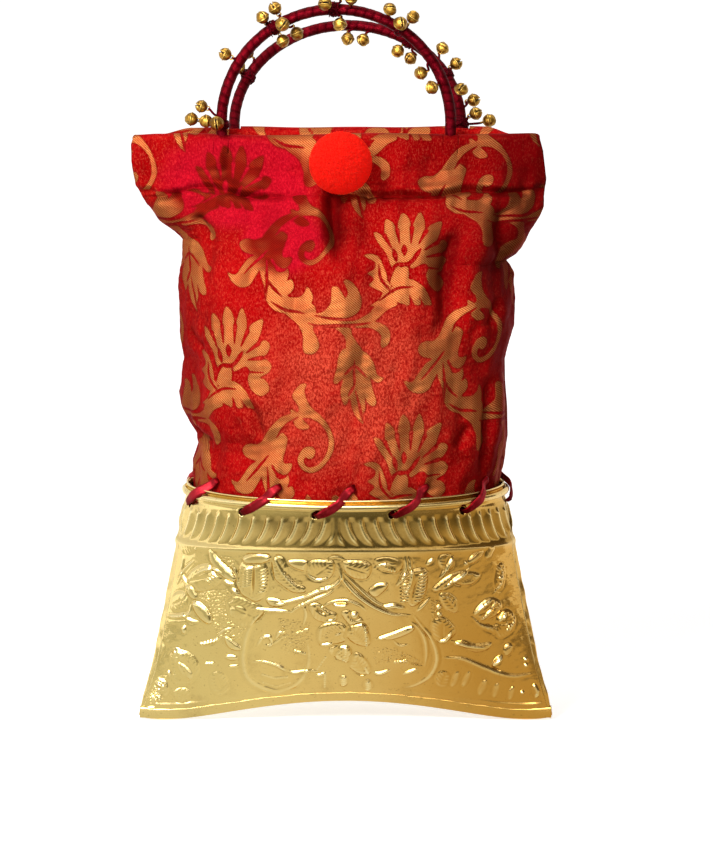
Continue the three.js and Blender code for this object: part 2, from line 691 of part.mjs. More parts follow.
// Bells: name, then x, y and height in the handle's own plane, from its bar axis.
const FRONT_BELLS = [
  ['front_01', -26.17, 0.19, 58.96],
  ['front_02', -31.43, -2.02, 55.29],
  ['front_03', -22.79, -6.76, 53.07],
  ['front_04', -22.85, -0.64, 45.09],
  ['front_05', -16.84, 0.05, 48.18],
  ['front_06', -4.69, -5.75, 61.94],
  ['front_07', 6.57, -3.70, 63.77],
  ['front_08', 1.73, -3.57, 52.71],
  ['front_09', 1.52, 0.54, 65.34],
  ['front_10', 23.13, -3.65, 59.15],
  ['front_11', 27.68, -6.12, 53.46],
  ['front_12', 33.00, 0.00, 55.00],
  ['front_13', 36.70, -0.03, 30.85],
  ['front_14', 41.27, -4.45, 25.37],
  ['front_15', -47.66, 0.00, 39.06],
  ['front_16', -58.16, 0.30, 16.29],
  ['front_17', -62.47, 0.59, 10.68],
  ['front_18', -56.09, -1.57, 10.11],
  ['front_19', -51.39, -6.49, 10.02],
]
const BACK_BELLS = [
  ['back_01', -0.04, 0.00, 51.67],
  ['back_02', 6.74, -0.00, 51.15],
  ['back_03', 22.07, 0.02, 45.50],
  ['back_04', 27.60, -0.31, 41.55],
  ['back_05', 41.72, 0.01, 46.76],
  ['back_06', 47.68, 0.01, 39.02],
  ['back_07', -44.04, -2.94, 42.90],
  ['back_08', -47.83, -5.04, 34.26],
  ['back_09', 55.15, 0.00, 20.66],
  ['back_10', 49.61, -6.53, 22.40],
  ['back_11', 55.90, -1.99, 12.84],
  ['back_12', 61.75, 0.68, 10.73],
]
// Thread ties: name, then a point near which the collar sits on the arch.
const FRONT_TIES = [
  ['front_top_left', -27, 50.5],
  ['front_top', -1, 58],
  ['front_top_right', 27.5, 50],
  ['front_left_corner', -49.5, 8.2],
]
const BACK_TIES = [
  ['back_upper_right', 27, 50],
  ['back_right', 43, 33],
  ['back_left', -43.5, 32],
  ['back_right_corner', 49.5, 8.4],
]

// --------------------------------------------------------------- the assembly
const group = new THREE.Group()
group.position.z = -CARRY_Z
const add = (parent, name, geometry, material) => {
  const mesh = new THREE.Mesh(geometry, material)
  mesh.name = name
  parent.add(mesh)
  return mesh
}

const base = new THREE.Group()
add(base, 'brass_front_panel', brassFront, BRASS())
add(base, 'brass_back_panel', brassBack, BRASS())
add(base, 'brass_side_gusset_left', gussetLeft, BRASS())
add(base, 'brass_side_gusset_right', gussetRight, BRASS())
add(base, 'brass_rim_bead', rimBead, BRASS())
add(base, 'brass_foot_strip', footStrip, BRASS())
add(base, 'lacing_ribbon', lacing, SATIN())
add(base, 'brocade_lower_front', lowerFrontCut, BROCADE())
add(base, 'brocade_lower_back', lowerBackCut, BROCADE())
add(base, 'lining_pocket', liningLower, LINING_M())
group.add(base)

const mouthFront = new THREE.Group()
add(mouthFront, 'brocade_upper_front', upperFrontCut, BROCADE())
add(mouthFront, 'lining_upper_front', liningUpper, LINING_M())
const pom = new THREE.SphereGeometry(1, 16, 9)
pom.scale(POM_R, POM_D, POM_R)
add(mouthFront, 'pompom', pom, WOOL()).position.set(...POM_POS)
const magnet = () => new THREE.CylinderGeometry(MAGNET_R, MAGNET_R, MAGNET_T, 20)
add(mouthFront, 'magnet_front', magnet(), STEEL()).position.set(POM_POS[0], -3.5, 246.6)
group.add(mouthFront)

const mouthBack = new THREE.Group()
add(mouthBack, 'brocade_upper_back', upperBackCut, BROCADE())
add(mouthBack, 'lining_upper_back', mirrorY(liningUpper), LINING_M())
add(mouthBack, 'magnet_back', magnet(), STEEL()).position.set(POM_POS[0], 3.5, 246.6)
group.add(mouthBack)

function handle(side, x0, y0, lean, bells, ties) {
  const h = new THREE.Group()
  h.position.set(x0, y0, BAR_Z)
  h.rotation.x = rad(lean)
  add(h, `handle_core_${side}`, handleCore(), CANE())
  add(h, `handle_wrap_${side}`, handleWrap(), SATIN())
  ties.forEach(([name, x, z]) => add(h, `thread_tie_${name}`, tie(x, z), THREAD()))
  bells.forEach(([name, x, y, z]) => {
    const m = add(h, `bell_${name}`, bell(), BELL_BRASS())
    m.position.set(x, y, z)
    // the seam ridge faces the rod
    const a = Math.atan2(z - LEG, x)
    const c = z < LEG ? V(Math.sign(x) * RING_R, 0, z) : V(RING_R * Math.cos(a), 0, LEG + RING_R * Math.sin(a))
    m.quaternion.setFromUnitVectors(V(0, 1, 0), c.sub(V(x, y, z)).normalize())
  })
  return h
}
mouthFront.add(handle('front', FRONT_X, -BAR_Y, FRONT_LEAN, FRONT_BELLS, FRONT_TIES))
mouthBack.add(handle('back', BACK_X, BAR_Y, -BACK_LEAN, BACK_BELLS, BACK_TIES))

export default group
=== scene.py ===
"""Looks of the potli bag: embossed brass base, laced brocade sleeve, felted pompom,
two ribbon-wound handles with brass bells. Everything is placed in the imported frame."""

import math

import bpy
import numpy as np
from mathutils import Matrix, Vector


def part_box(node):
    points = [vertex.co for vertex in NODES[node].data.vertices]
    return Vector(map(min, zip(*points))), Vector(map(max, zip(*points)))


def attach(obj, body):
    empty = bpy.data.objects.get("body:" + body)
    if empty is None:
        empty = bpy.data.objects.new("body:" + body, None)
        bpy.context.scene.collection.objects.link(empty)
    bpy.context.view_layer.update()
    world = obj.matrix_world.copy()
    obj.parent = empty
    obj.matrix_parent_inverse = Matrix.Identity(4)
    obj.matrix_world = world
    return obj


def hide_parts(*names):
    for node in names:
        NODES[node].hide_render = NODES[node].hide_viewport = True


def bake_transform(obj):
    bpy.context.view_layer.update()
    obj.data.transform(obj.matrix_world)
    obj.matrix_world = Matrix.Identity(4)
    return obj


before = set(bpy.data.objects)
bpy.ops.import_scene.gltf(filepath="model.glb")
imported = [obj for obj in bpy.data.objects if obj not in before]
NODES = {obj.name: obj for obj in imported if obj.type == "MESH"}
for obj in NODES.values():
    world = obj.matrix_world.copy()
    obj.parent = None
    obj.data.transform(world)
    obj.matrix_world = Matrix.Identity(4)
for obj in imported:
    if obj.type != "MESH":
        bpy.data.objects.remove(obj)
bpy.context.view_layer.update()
scene = bpy.context.scene

# ------------------------------------------------------------ frame constants
# Millimetres in the maths below, metres in the meshes. Heights are counted from
# the foot corners; the row's origin is CARRY above them.
CARRY = 316.0
RIM_A, RIM_B, RIM_Z = 69.4, 45.4, 108.25
PANEL_H, PINCH, SHEET = 108.3, 0.75, 0.9
GUSSET_TOP, GUSSET_FOOT = 7.75, 1.7
BAR_Y, BAR_Z, RING_R, LEG = 4.65, 257.5, 49.5, 9.0
FRONT_X, BACK_X, FRONT_LEAN, BACK_LEAN = -4.0, 1.0, 6.0, 34.0
FOLD_Z, HEM_Z = 171.75, 264.0

_th = np.linspace(0, np.pi / 2, 1441)
_arc = np.concatenate([[0], np.cumsum(np.hypot(RIM_A * np.diff(np.sin(_th)), RIM_B * np.diff(np.cos(_th))))])
QUARTER = float(_arc[-1])
GIRTH = 4 * QUARTER
FOOT_FLAT = QUARTER - np.pi * PINCH / 2


def quarter(s):
    t = np.mod(s, GIRTH)
    sx = np.where(t > 2 * QUARTER, -1.0, 1.0)
    t = np.where(t > 2 * QUARTER, GIRTH - t, t)
    sy = np.where(t > QUARTER, 1.0, -1.0)
    t = np.where(t > QUARTER, 2 * QUARTER - t, t)
    return np.clip(t, 0, QUARTER), sx, sy


def brass(s, d):
    """Point of the folded brass sheet: s along the girth from the front middle, d down from the lip."""
    s, d = np.broadcast_arrays(np.asarray(s, float), np.asarray(d, float))
    t, sx, sy = quarter(s)
    a = np.interp(t, _arc, _th)
    rim = np.stack([sx * RIM_A * np.sin(a), sy * RIM_B * np.cos(a), np.full(a.shape, RIM_Z)], -1)
    w = np.clip((t - FOOT_FLAT) / PINCH, 0, None)
    x = np.where(t > FOOT_FLAT, FOOT_FLAT + PINCH * np.sin(w), t)
    y = np.where(t > FOOT_FLAT, PINCH * np.cos(w), PINCH)
    dx, dy = np.abs(rim[..., 0]) - x, np.abs(rim[..., 1]) - y
    z = RIM_Z - np.sqrt(PANEL_H**2 - dx * dx - dy * dy)
    foot = np.stack([sx * x, sy * y, z], -1)
    f = (d / PANEL_H)[..., None]
    return rim + (foot - rim) * f


def unit(v):
    return v / np.maximum(np.linalg.norm(v, axis=-1, keepdims=True), 1e-12)


def brass_normal(s, d):
    e = 0.05
    du = brass(np.add(s, e), d) - brass(np.subtract(s, e), d)
    dv = brass(s, np.subtract(d, e)) - brass(s, np.add(d, e))
    return unit(np.cross(du, dv))


# The cloth sleeve. z, half depth, edge offset, squareness q and r of the section.
SLEEVE = np.array([
    [100, 41.2, 0.3, 2, 0.5], [104, 41.2, 0.3, 2, 0.5], [108.5, 41.6, 0.3, 2, 0.5], [114, 41.8, 0.3, 2, 0.5],
    [125, 41.6, 0.3, 2, 0.5], [145, 41.1, 0.3, 2, 0.5], [171.75, 40.5, 0.3, 2, 0.5], [190, 38.4, 0.3, 2.05, 0.52],
    [205, 34.6, 0.4, 2.15, 0.55], [214, 29.6, 0.6, 2.4, 0.6], [224, 21.6, 1.1, 3.0, 0.7], [235, 12.0, 2.2, 4.2, 0.85],
    [246, 5.6, 3.0, 6, 1], [264, 4.9, 3.0, 6, 1]])
# Half widths of the two sides, which gather a little differently.
HALF_L = np.array([[100, 66.2], [108, 66.6], [118, 66.9], [125.4, 64.4], [130, 65.0], [134.5, 68.0], [140.6, 70.8], [147.6, 72.1],
                   [158, 70.6], [164, 69.6], [168, 70.2], [175, 70.9], [195, 71.0], [206, 69.5], [212, 68.9], [216.6, 68.6],
                   [221.6, 72.4], [226.5, 79.8], [231, 86.0], [239.3, 90.6], [250, 92.4], [257, 92.6], [260, 91.6], [264, 90.0]])
HALF_R = np.array([[100, 66.6], [107, 67.2], [116, 69.0], [128.6, 71.0], [141.8, 70.7], [153, 69.7], [163.4, 69.5], [170.2, 71.3],
                   [178.5, 73.4], [191.5, 72.9], [200.8, 71.9], [206.7, 68.4], [211, 73.6], [216, 77.0], [222.6, 81.4], [230.5, 85.6],
                   [242.4, 86.8], [254.3, 85.4], [260, 83.8], [264, 82.0]])


def sleeve(w, z):
    """Front half of the cloth sleeve: w from -1 (left seam) to 1 (right seam), z the height."""
    w, z = np.broadcast_arrays(np.asarray(w, float), np.asarray(z, float))
    b, e, q, r = [np.interp(z, SLEEVE[:, 0], SLEEVE[:, k]) for k in (1, 2, 3, 4)]
    a = np.where(w < 0, np.interp(z, HALF_L[:, 0], HALF_L[:, 1]), np.interp(z, HALF_R[:, 0], HALF_R[:, 1]))
    m = np.interp(z, HALF_L[:, 0], HALF_L[:, 1]) * 0.5 + np.interp(z, HALF_R[:, 0], HALF_R[:, 1]) * 0.5
    k = np.clip(np.abs(w) * 1.6, 0, 1)
    a = m + (a - m) * k * k * (3 - 2 * k)
    sn = np.sin(np.pi / 2 * w)
    c = np.power(np.clip(1 - np.power(np.abs(sn), q), 0, None), r)
    return np.stack([a * sn, -(e + b * c), z], -1)


# Arc length along the cloth, up from the rim, along the middle of the front.
_zz = np.linspace(100, 264, 821)
_mid = sleeve(np.zeros(821), _zz)
_up = np.concatenate([[0], np.cumsum(np.linalg.norm(np.diff(_mid, axis=0), axis=1))])


def cloth_t(z):
    return np.interp(z, _zz, _up)
CLOTH_SHAPES = {
    'scroll_stem': [(-37.1, 110.8),(-34.4, 111.4),(-31.5, 110.2),(-29.8, 106.6),(-28.1, 100.8),(-25.5, 96.7),(-21.2, 92.3),(-15.1, 89.0),(-9.2, 87.8),(-4.0, 85.5),(2.0, 85.0),(5.2, 85.5),(10.0, 88.3),(13.7, 92.6),(16.2, 97.2),(17.5, 102.4),(20.4, 98.8),(20.2, 94.9),(22.7, 91.6),(18.5, 89.3),(14.9, 86.0),(11.5, 83.7),(5.2, 83.2),(0.0, 82.2),(-6.6, 82.2),(-12.0, 82.7),(-13.4, 81.5),(-11.7, 78.0),(-10.8, 74.4),(-12.1, 71.9),(-14.5, 70.7),(-17.3, 71.2),(-18.3, 73.9),(-18.2, 78.0),(-20.1, 83.0),(-24.5, 86.8),(-30.2, 92.1),(-33.8, 97.2),(-36.6, 104.4)],
    'scroll_curl_a': [(-16.4, 100.0),(-14.8, 98.5),(-13.4, 95.2),(-14.5, 92.1),(-17.6, 90.0),(-22.3, 90.8),(-26.4, 93.9),(-25.0, 95.4),(-20.1, 95.4),(-17.6, 97.0),(-17.0, 98.5)],
    'scroll_curl_b': [(-24.8, 108.3),(-24.1, 105.2),(-25.4, 101.8),(-28.1, 99.5),(-30.8, 99.8),(-33.2, 102.9),(-35.1, 107.1),(-33.5, 109.7),(-31.3, 107.4),(-28.5, 106.0),(-26.1, 106.6)],
    'scroll_tulip': [(-5.7, 99.3),(-3.4, 99.5),(-1.4, 97.2),(0.0, 94.6),(0.9, 97.0),(-0.9, 101.8),(1.4, 102.4),(4.8, 99.3),(6.9, 94.6),(6.6, 90.3),(4.3, 87.5),(0.3, 86.0),(-4.3, 86.0),(-10.0, 87.0),(-13.7, 88.3),(-10.0, 88.8),(-6.6, 91.8),(-6.0, 95.2)],
    'scroll_lobe_r': [(4.3, 83.5),(9.7, 84.5),(14.9, 84.0),(18.3, 82.0),(19.7, 79.2),(19.5, 75.7),(18.0, 73.9),(16.0, 72.9),(15.0, 74.9),(15.4, 78.0),(13.7, 80.2),(9.7, 81.7),(4.6, 81.7)],
    'hang_stem': [(-4.3, 82.0),(2.0, 82.0),(2.9, 79.2),(5.1, 75.4),(7.3, 71.9),(2.8, 69.9),(0.3, 72.9),(0.0, 76.7),(-1.7, 79.7)],
    'hang_leaf': [(0.8, 73.4),(-1.7, 72.4),(-3.1, 69.4),(-3.8, 64.7),(-5.2, 59.2),(-3.6, 57.7),(-1.9, 59.4),(-1.1, 59.9),(-2.2, 55.2),(-1.7, 51.5),(-0.6, 48.7),(0.8, 49.2),(1.9, 51.5),(2.8, 47.0),(4.7, 43.2),(7.8, 40.2),(7.5, 43.2),(8.9, 47.0),(8.3, 52.2),(9.4, 49.5),(11.1, 48.0),(13.1, 48.2),(13.6, 50.5),(11.8, 55.9),(11.0, 60.2),(12.3, 58.7),(14.0, 57.9),(15.6, 58.4),(16.7, 60.2),(13.9, 61.7),(12.4, 66.7),(9.3, 71.2),(5.4, 72.7)],
    'flower_fan': [(19.7, 17.7),(17.5, 24.2),(13.9, 29.5),(12.0, 34.5),(14.7, 34.2),(16.9, 31.7),(16.7, 36.2),(17.4, 41.0),(20.6, 39.0),(22.2, 34.7),(22.5, 39.2),(24.4, 44.5),(27.6, 41.5),(28.6, 35.5),(29.3, 39.0),(32.0, 44.7),(34.3, 40.2),(34.5, 33.7),(36.0, 37.5),(41.6, 40.5),(41.2, 35.5),(39.2, 29.0),(42.3, 31.5),(45.2, 29.5),(43.4, 25.2),(40.3, 23.5),(43.3, 23.2),(45.8, 20.5),(44.2, 17.2),(40.4, 15.0),(42.9, 14.3),(44.7, 11.3),(44.0, 8.8),(40.7, 6.8),(36.4, 9.0),(34.3, 13.5),(35.4, 17.2),(33.2, 19.0),(28.7, 16.5),(27.5, 18.2),(29.9, 20.7),(31.7, 24.2),(29.1, 22.0),(26.5, 19.7),(22.8, 19.7),(20.7, 18.5)],
    'flower_sepal_l': [(7.7, 23.0),(10.6, 24.2),(13.3, 23.7),(15.4, 21.7),(17.0, 17.7),(18.2, 13.8),(18.4, 9.8),(22.1, 7.0),(26.6, 4.5),(25.5, 1.5),(20.7, 3.5),(16.2, 6.8),(11.6, 9.0),(10.0, 10.5),(12.4, 13.0),(9.3, 15.5),(12.3, 17.5),(12.5, 20.5)],
    'flower_seed': [(20.1, 14.5),(22.3, 18.2),(24.1, 17.7),(26.5, 18.0),(27.4, 14.8),(26.3, 10.3),(22.9, 8.8),(19.4, 10.5)],
    'flower_base': [(19.3, 8.5),(25.2, 12.5),(29.5, 12.0),(33.7, 8.5),(36.6, 4.0),(37.4, 1.0),(34.3, 1.0),(33.6, 1.0),(31.3, 5.2),(32.4, 1.5),(29.9, 1.0),(28.8, 3.0),(27.4, 5.5),(27.7, 1.7),(26.0, 1.0),(24.3, 3.7),(22.6, 4.7),(18.9, 1.7),(15.1, 1.0),(12.0, 1.0),(9.9, 1.0),(14.1, 3.7)],
    'cluster': [(45.6, 80.7),(49.3, 81.5),(52.3, 79.0),(51.7, 75.9),(50.9, 72.9),(50.0, 69.9),(50.8, 67.9),(54.0, 68.2),(53.7, 65.4),(51.0, 62.7),(47.6, 63.7),(45.7, 66.7),(45.0, 66.4),(46.4, 61.9),(48.1, 58.4),(51.1, 57.2),(54.1, 58.2),(55.1, 54.4),(52.6, 51.2),(49.8, 50.2),(47.0, 51.0),(47.8, 49.2),(50.9, 46.5),(56.3, 45.2),(60.0, 46.5),(60.9, 48.7),(64.3, 46.2),(64.7, 43.0),(62.2, 40.0),(57.1, 41.5),(52.0, 42.7),(46.1, 44.7),(43.1, 48.5),(42.1, 54.9),(42.2, 59.7),(41.6, 64.4),(40.7, 62.2),(38.4, 58.2),(36.0, 54.4),(32.5, 53.0),(28.9, 53.7),(26.5, 55.9),(24.9, 59.2),(28.6, 58.4),(31.3, 61.7),(34.4, 65.9),(37.4, 67.9),(35.9, 68.2),(32.4, 69.4),(31.0, 72.4),(32.3, 74.7),(35.1, 75.9),(38.2, 75.7),(41.4, 78.0)],
    'arch_leaf': [(53.3, 92.1),(56.2, 90.8),(59.0, 87.8),(62.0, 84.0),(58.7, 83.0),(55.7, 84.5),(54.4, 87.5)],
    'spiral': [(-36.6, 31.2),(-32.9, 38.0),(-28.2, 43.0),(-22.7, 45.2),(-20.0, 46.0),(-20.2, 48.5),(-22.6, 51.7),(-22.2, 54.4),(-19.2, 57.9),(-16.2, 57.9),(-17.1, 55.4),(-16.3, 51.7),(-14.2, 47.7),(-10.3, 44.5),(-7.2, 40.2),(-4.9, 34.7),(-4.8, 29.7),(-7.1, 24.7),(-10.9, 20.5),(-15.1, 19.0),(-18.9, 21.0),(-20.5, 24.5),(-19.4, 28.2),(-16.9, 30.7),(-14.1, 30.7),(-12.7, 28.5),(-13.7, 25.7),(-16.0, 25.2),(-17.0, 26.0),(-17.5, 23.7),(-15.3, 21.7),(-11.4, 23.2),(-8.5, 27.0),(-7.2, 31.7),(-7.9, 36.5),(-10.8, 40.7),(-15.2, 43.0),(-20.7, 42.7),(-25.4, 40.2),(-28.9, 36.5),(-31.1, 32.0),(-33.9, 28.7)],
}
CLOTH_SLITS = {
    'hang_vein': ([(3.9, 68.2),(3.6, 62.9),(3.9, 58.7),(3.6, 55.7)], 0.9),
    'petal_a': ([(16.9, 32.6), (20.3, 25.8)], 1.5),
    'petal_b': ([(22.2, 35.6), (23.4, 28.4)], 1.5),
    'petal_c': ([(28.6, 36.4), (28.2, 28.6)], 1.5),
    'petal_d': ([(34.7, 34.6), (31.4, 27.8)], 1.5),
    'petal_e': ([(39.8, 29.6), (33.8, 25.2)], 1.5),
    'petal_f': ([(41.0, 23.7), (34.6, 22.2)], 1.5),
    'stem_a': ([(-34.6, 104.0), (-30.6, 98.6), (-27.0, 95.4)], 0.95),
    'stem_b': ([(-13.0, 87.4), (-5.0, 85.9), (3.6, 85.6), (11.0, 88.6)], 0.95),
    'stem_c': ([(-15.6, 84.2), (-11.8, 83.0), (-3.0, 83.0), (5.0, 83.2), (11.0, 83.9)], 0.95),
    'leaf_a': ([(3.7, 66.0), (-0.4, 62.0)], 0.95),
    'leaf_b': ([(3.9, 66.0), (9.4, 60.4)], 0.95),
    'leaf_c': ([(3.7, 57.0), (1.2, 52.6)], 0.95),
    'leaf_d': ([(4.2, 55.0), (6.4, 47.0), (7.3, 42.0)], 0.95),
    'sepal': ([(14.6, 19.6), (15.6, 12.6), (20.6, 6.6)], 0.95),
    'cluster_a': ([(33.0, 59.0), (39.0, 65.6), (43.4, 71.0)], 0.95),
    'cluster_b': ([(43.2, 49.5), (43.4, 58.0), (43.0, 66.0)], 0.95),
    'cluster_c': ([(45.4, 47.8), (51.6, 44.6), (58.0, 43.6)], 0.95),
    'spiral_a': ([(-30.0, 34.0), (-25.6, 39.6), (-20.0, 43.6)], 0.95),
    'base_a': ([(15.0, 3.6), (22.0, 8.4), (29.0, 9.0)], 0.95),
    'seed_slits1': ([(20.7, 26.2),(22.0, 20.2)], 1.9),
    'seed_slits2': ([(25.3, 28.0),(25.4, 23.0)], 2.3),
    'seed_slits3': ([(32.2, 25.7),(28.6, 20.2)], 1.7),
    'petal_r1': ([(35.8, 17.0),(42.0, 17.2)], 0.6),
    'leaf_gap': ([(-24.3, 89.8),(-17.3, 88.3)], 0.7),
}


# ------------------------------------------------- signed distances in a plane
def smooth_closed(points, n=4):
    """Catmull-Rom through a closed outline, n points to a span."""
    p = np.array(points, float)
    out = []
    m = len(p)
    for i in range(m):
        a, b, c, d = p[i - 1], p[i], p[(i + 1) % m], p[(i + 2) % m]
        for k in range(n):
            t = k / n
            out.append(0.5 * (2 * b + (c - a) * t + (2 * a - 5 * b + 4 * c - d) * t * t + (3 * b - a - 3 * c + d) * t**3))
    return np.array(out)


def smooth_open(points, n=6):
    p = np.array(points, float)
    p = np.vstack([2 * p[0] - p[1], p, 2 * p[-1] - p[-2]])
    out = []
    for i in range(1, len(p) - 2):
        a, b, c, d = p[i - 1], p[i], p[i + 1], p[i + 2]
        for k in range(n):
            t = k / n
            out.append(0.5 * (2 * b + (c - a) * t + (2 * a - 5 * b + 4 * c - d) * t * t + (3 * b - a - 3 * c + d) * t**3))
    out.append(p[-2])
    return np.array(out)


def near(u, v, pts, pad):
    return (u > pts[:, 0].min() - pad) & (u < pts[:, 0].max() + pad) & (v > pts[:, 1].min() - pad) & (v < pts[:, 1].max() + pad)


def seg_distance(u, v, a, b):
    d = b - a
    t = np.clip(((u - a[0]) * d[0] + (v - a[1]) * d[1]) / max(d @ d, 1e-9), 0, 1)
    return np.hypot(u - a[0] - t * d[0], v - a[1] - t * d[1]), t


def outline_distance(u, v, pts):
    """Signed distance to a closed outline, negative inside."""
    best = np.full(u.shape, 1e9)
    inside = np.zeros(u.shape, bool)
    m = len(pts)
    for i in range(m):
        a, b = pts[i], pts[(i + 1) % m]
        d, _ = seg_distance(u, v, a, b)
        best = np.minimum(best, d)
        if a[1] != b[1]:
            cross = (a[1] > v) != (b[1] > v)
            x = a[0] + (v - a[1]) * (b[0] - a[0]) / (b[1] - a[1])
            inside ^= cross & (u < x)
    return np.where(inside, -best, best)


def path_distance(u, v, pts):
    """Distance to an open path, the share of the way along it, and the signed side offset."""
    best = np.full(u.shape, 1e9)
    along = np.zeros(u.shape)
    side = np.zeros(u.shape)
    m = len(pts) - 1
    for i in range(m):
        a, b = pts[i], pts[i + 1]
        d, t = seg_distance(u, v, a, b)
        k = d < best
        best = np.where(k, d, best)
        along = np.where(k, (i + t) / m, along)
        cr = (b[0] - a[0]) * (v - a[1]) - (b[1] - a[1]) * (u - a[0])
        side = np.where(k, np.sign(cr) * d, side)
    return best, along, side


# --------------------------------------------------- woven pattern of the cloth
REPEAT_S, REPEAT_T = 77.0, 90.0  # half-drop repeat: next column 77 mm over and 45 mm up


def damask(s, t):
    """Signed distance in mm to the woven motif, negative on it. s across the cloth, t up it."""
    s, t = np.asarray(s, float), np.asarray(t, float)
    # repeat every shape over seven columns and nine rows of the half-drop lattice, skipping copies that lie outside the
    # points
    best = np.full(s.shape, 6.0)
    cuts = np.full(s.shape, 6.0)
    shapes = [smooth_closed(p, 3) for p in CLOTH_SHAPES.values()]
    slits = [(smooth_open(p, 4), w, name[:5] == "petal") for name, (p, w) in CLOTH_SLITS.items()]
    for i in range(-3, 4):
        for j in range(-4, 5):
            off = np.array([i * REPEAT_S, i * REPEAT_T / 2 + j * REPEAT_T])
            for p in shapes:
                q = p + off
                if q[:, 0].max() < s.min() - 6 or q[:, 0].min() > s.max() + 6 or q[:, 1].max() < t.min() - 6 or q[:, 1].min() > t.max() + 6:
                    continue
                k = near(s, t, q, 6.0)
                if k.any():
                    best[k] = np.minimum(best[k], outline_distance(s[k], t[k], q))
            for p, w, petal in slits:
                q = p + off
                k = near(s, t, q, 6.0)
                if k.any():
                    d, a, _ = path_distance(s[k], t[k], q)
                    taper = 1.2 - 1.0 * a if petal else 0.2 + 0.8 * np.sin(np.pi * np.clip(a, 0, 1))
                    cuts[k] = np.minimum(cuts[k], d - w / 2 * taper)
    return np.clip(np.maximum(best, -cuts), -6, 6)
FOLDS = [
    ([(-4.6, 146.7), (-5.4, 136.0), (-4.5, 123.4), (-4.0, 110.5)], 3.0, 3.4),  # under_pompom
    ([(-90.2, 138.2), (-78.9, 141.0), (-62.9, 146.5), (-49.8, 144.8), (-36.7, 142.8), (-10.8, 145.6)], 1.3, 1.5),  # hem_crease_left
    ([(0.0, 144.8), (10.7, 142.5), (41.0, 143.4), (54.0, 145.6), (69.4, 143.4), (86.4, 140.7)], 1.7, 1.6),  # hem_crease_right
    ([(47.4, 128.1), (45.6, 110.5), (44.6, 92.8), (46.0, 77.7)], 3.0, 5.0),  # right_fold
    ([(69.5, 137.8), (68.6, 121.8), (75.8, 105.7)], 2.4, 3.5),  # right_pinch
    ([(68.3, 59.2), (66.5, 38.7), (63.8, 10.3)], 2.4, 3.5),  # low_right
    ([(56.7, 37.7), (52.4, 32.2), (49.0, 27.5)], 1.6, 2.6),  # low_right_b
    ([(-36.7, 32.5), (-39.6, 43.2), (-45.3, 49.5)], 1.5, 2.5),  # low_left
    ([(-82.3, 34.0), (-72.4, 29.5), (-62.7, 27.2)], 1.8, 2.4),  # left_pinch
    ([(-65.3, 132.5), (-62.2, 125.6), (-58.8, 116.2)], 1.6, 3.0),  # left_upper
    ([(-78.6, 77.0), (-70.0, 71.4), (-65.1, 68.7)], 1.2, 2.6),  # left_mid
    ([(72.7, 90.8), (67.5, 84.7), (65.3, 78.5)], 1.6, 3.0),  # waist_right
    ([(36.7, 167.8), (37.9, 159.3), (36.7, 150.4)], 0.9, 3.0),  # top_right
    ([(-48.9, 167.8), (-50.6, 159.3), (-53.2, 149.3)], 0.9, 3.5),  # top_left
]
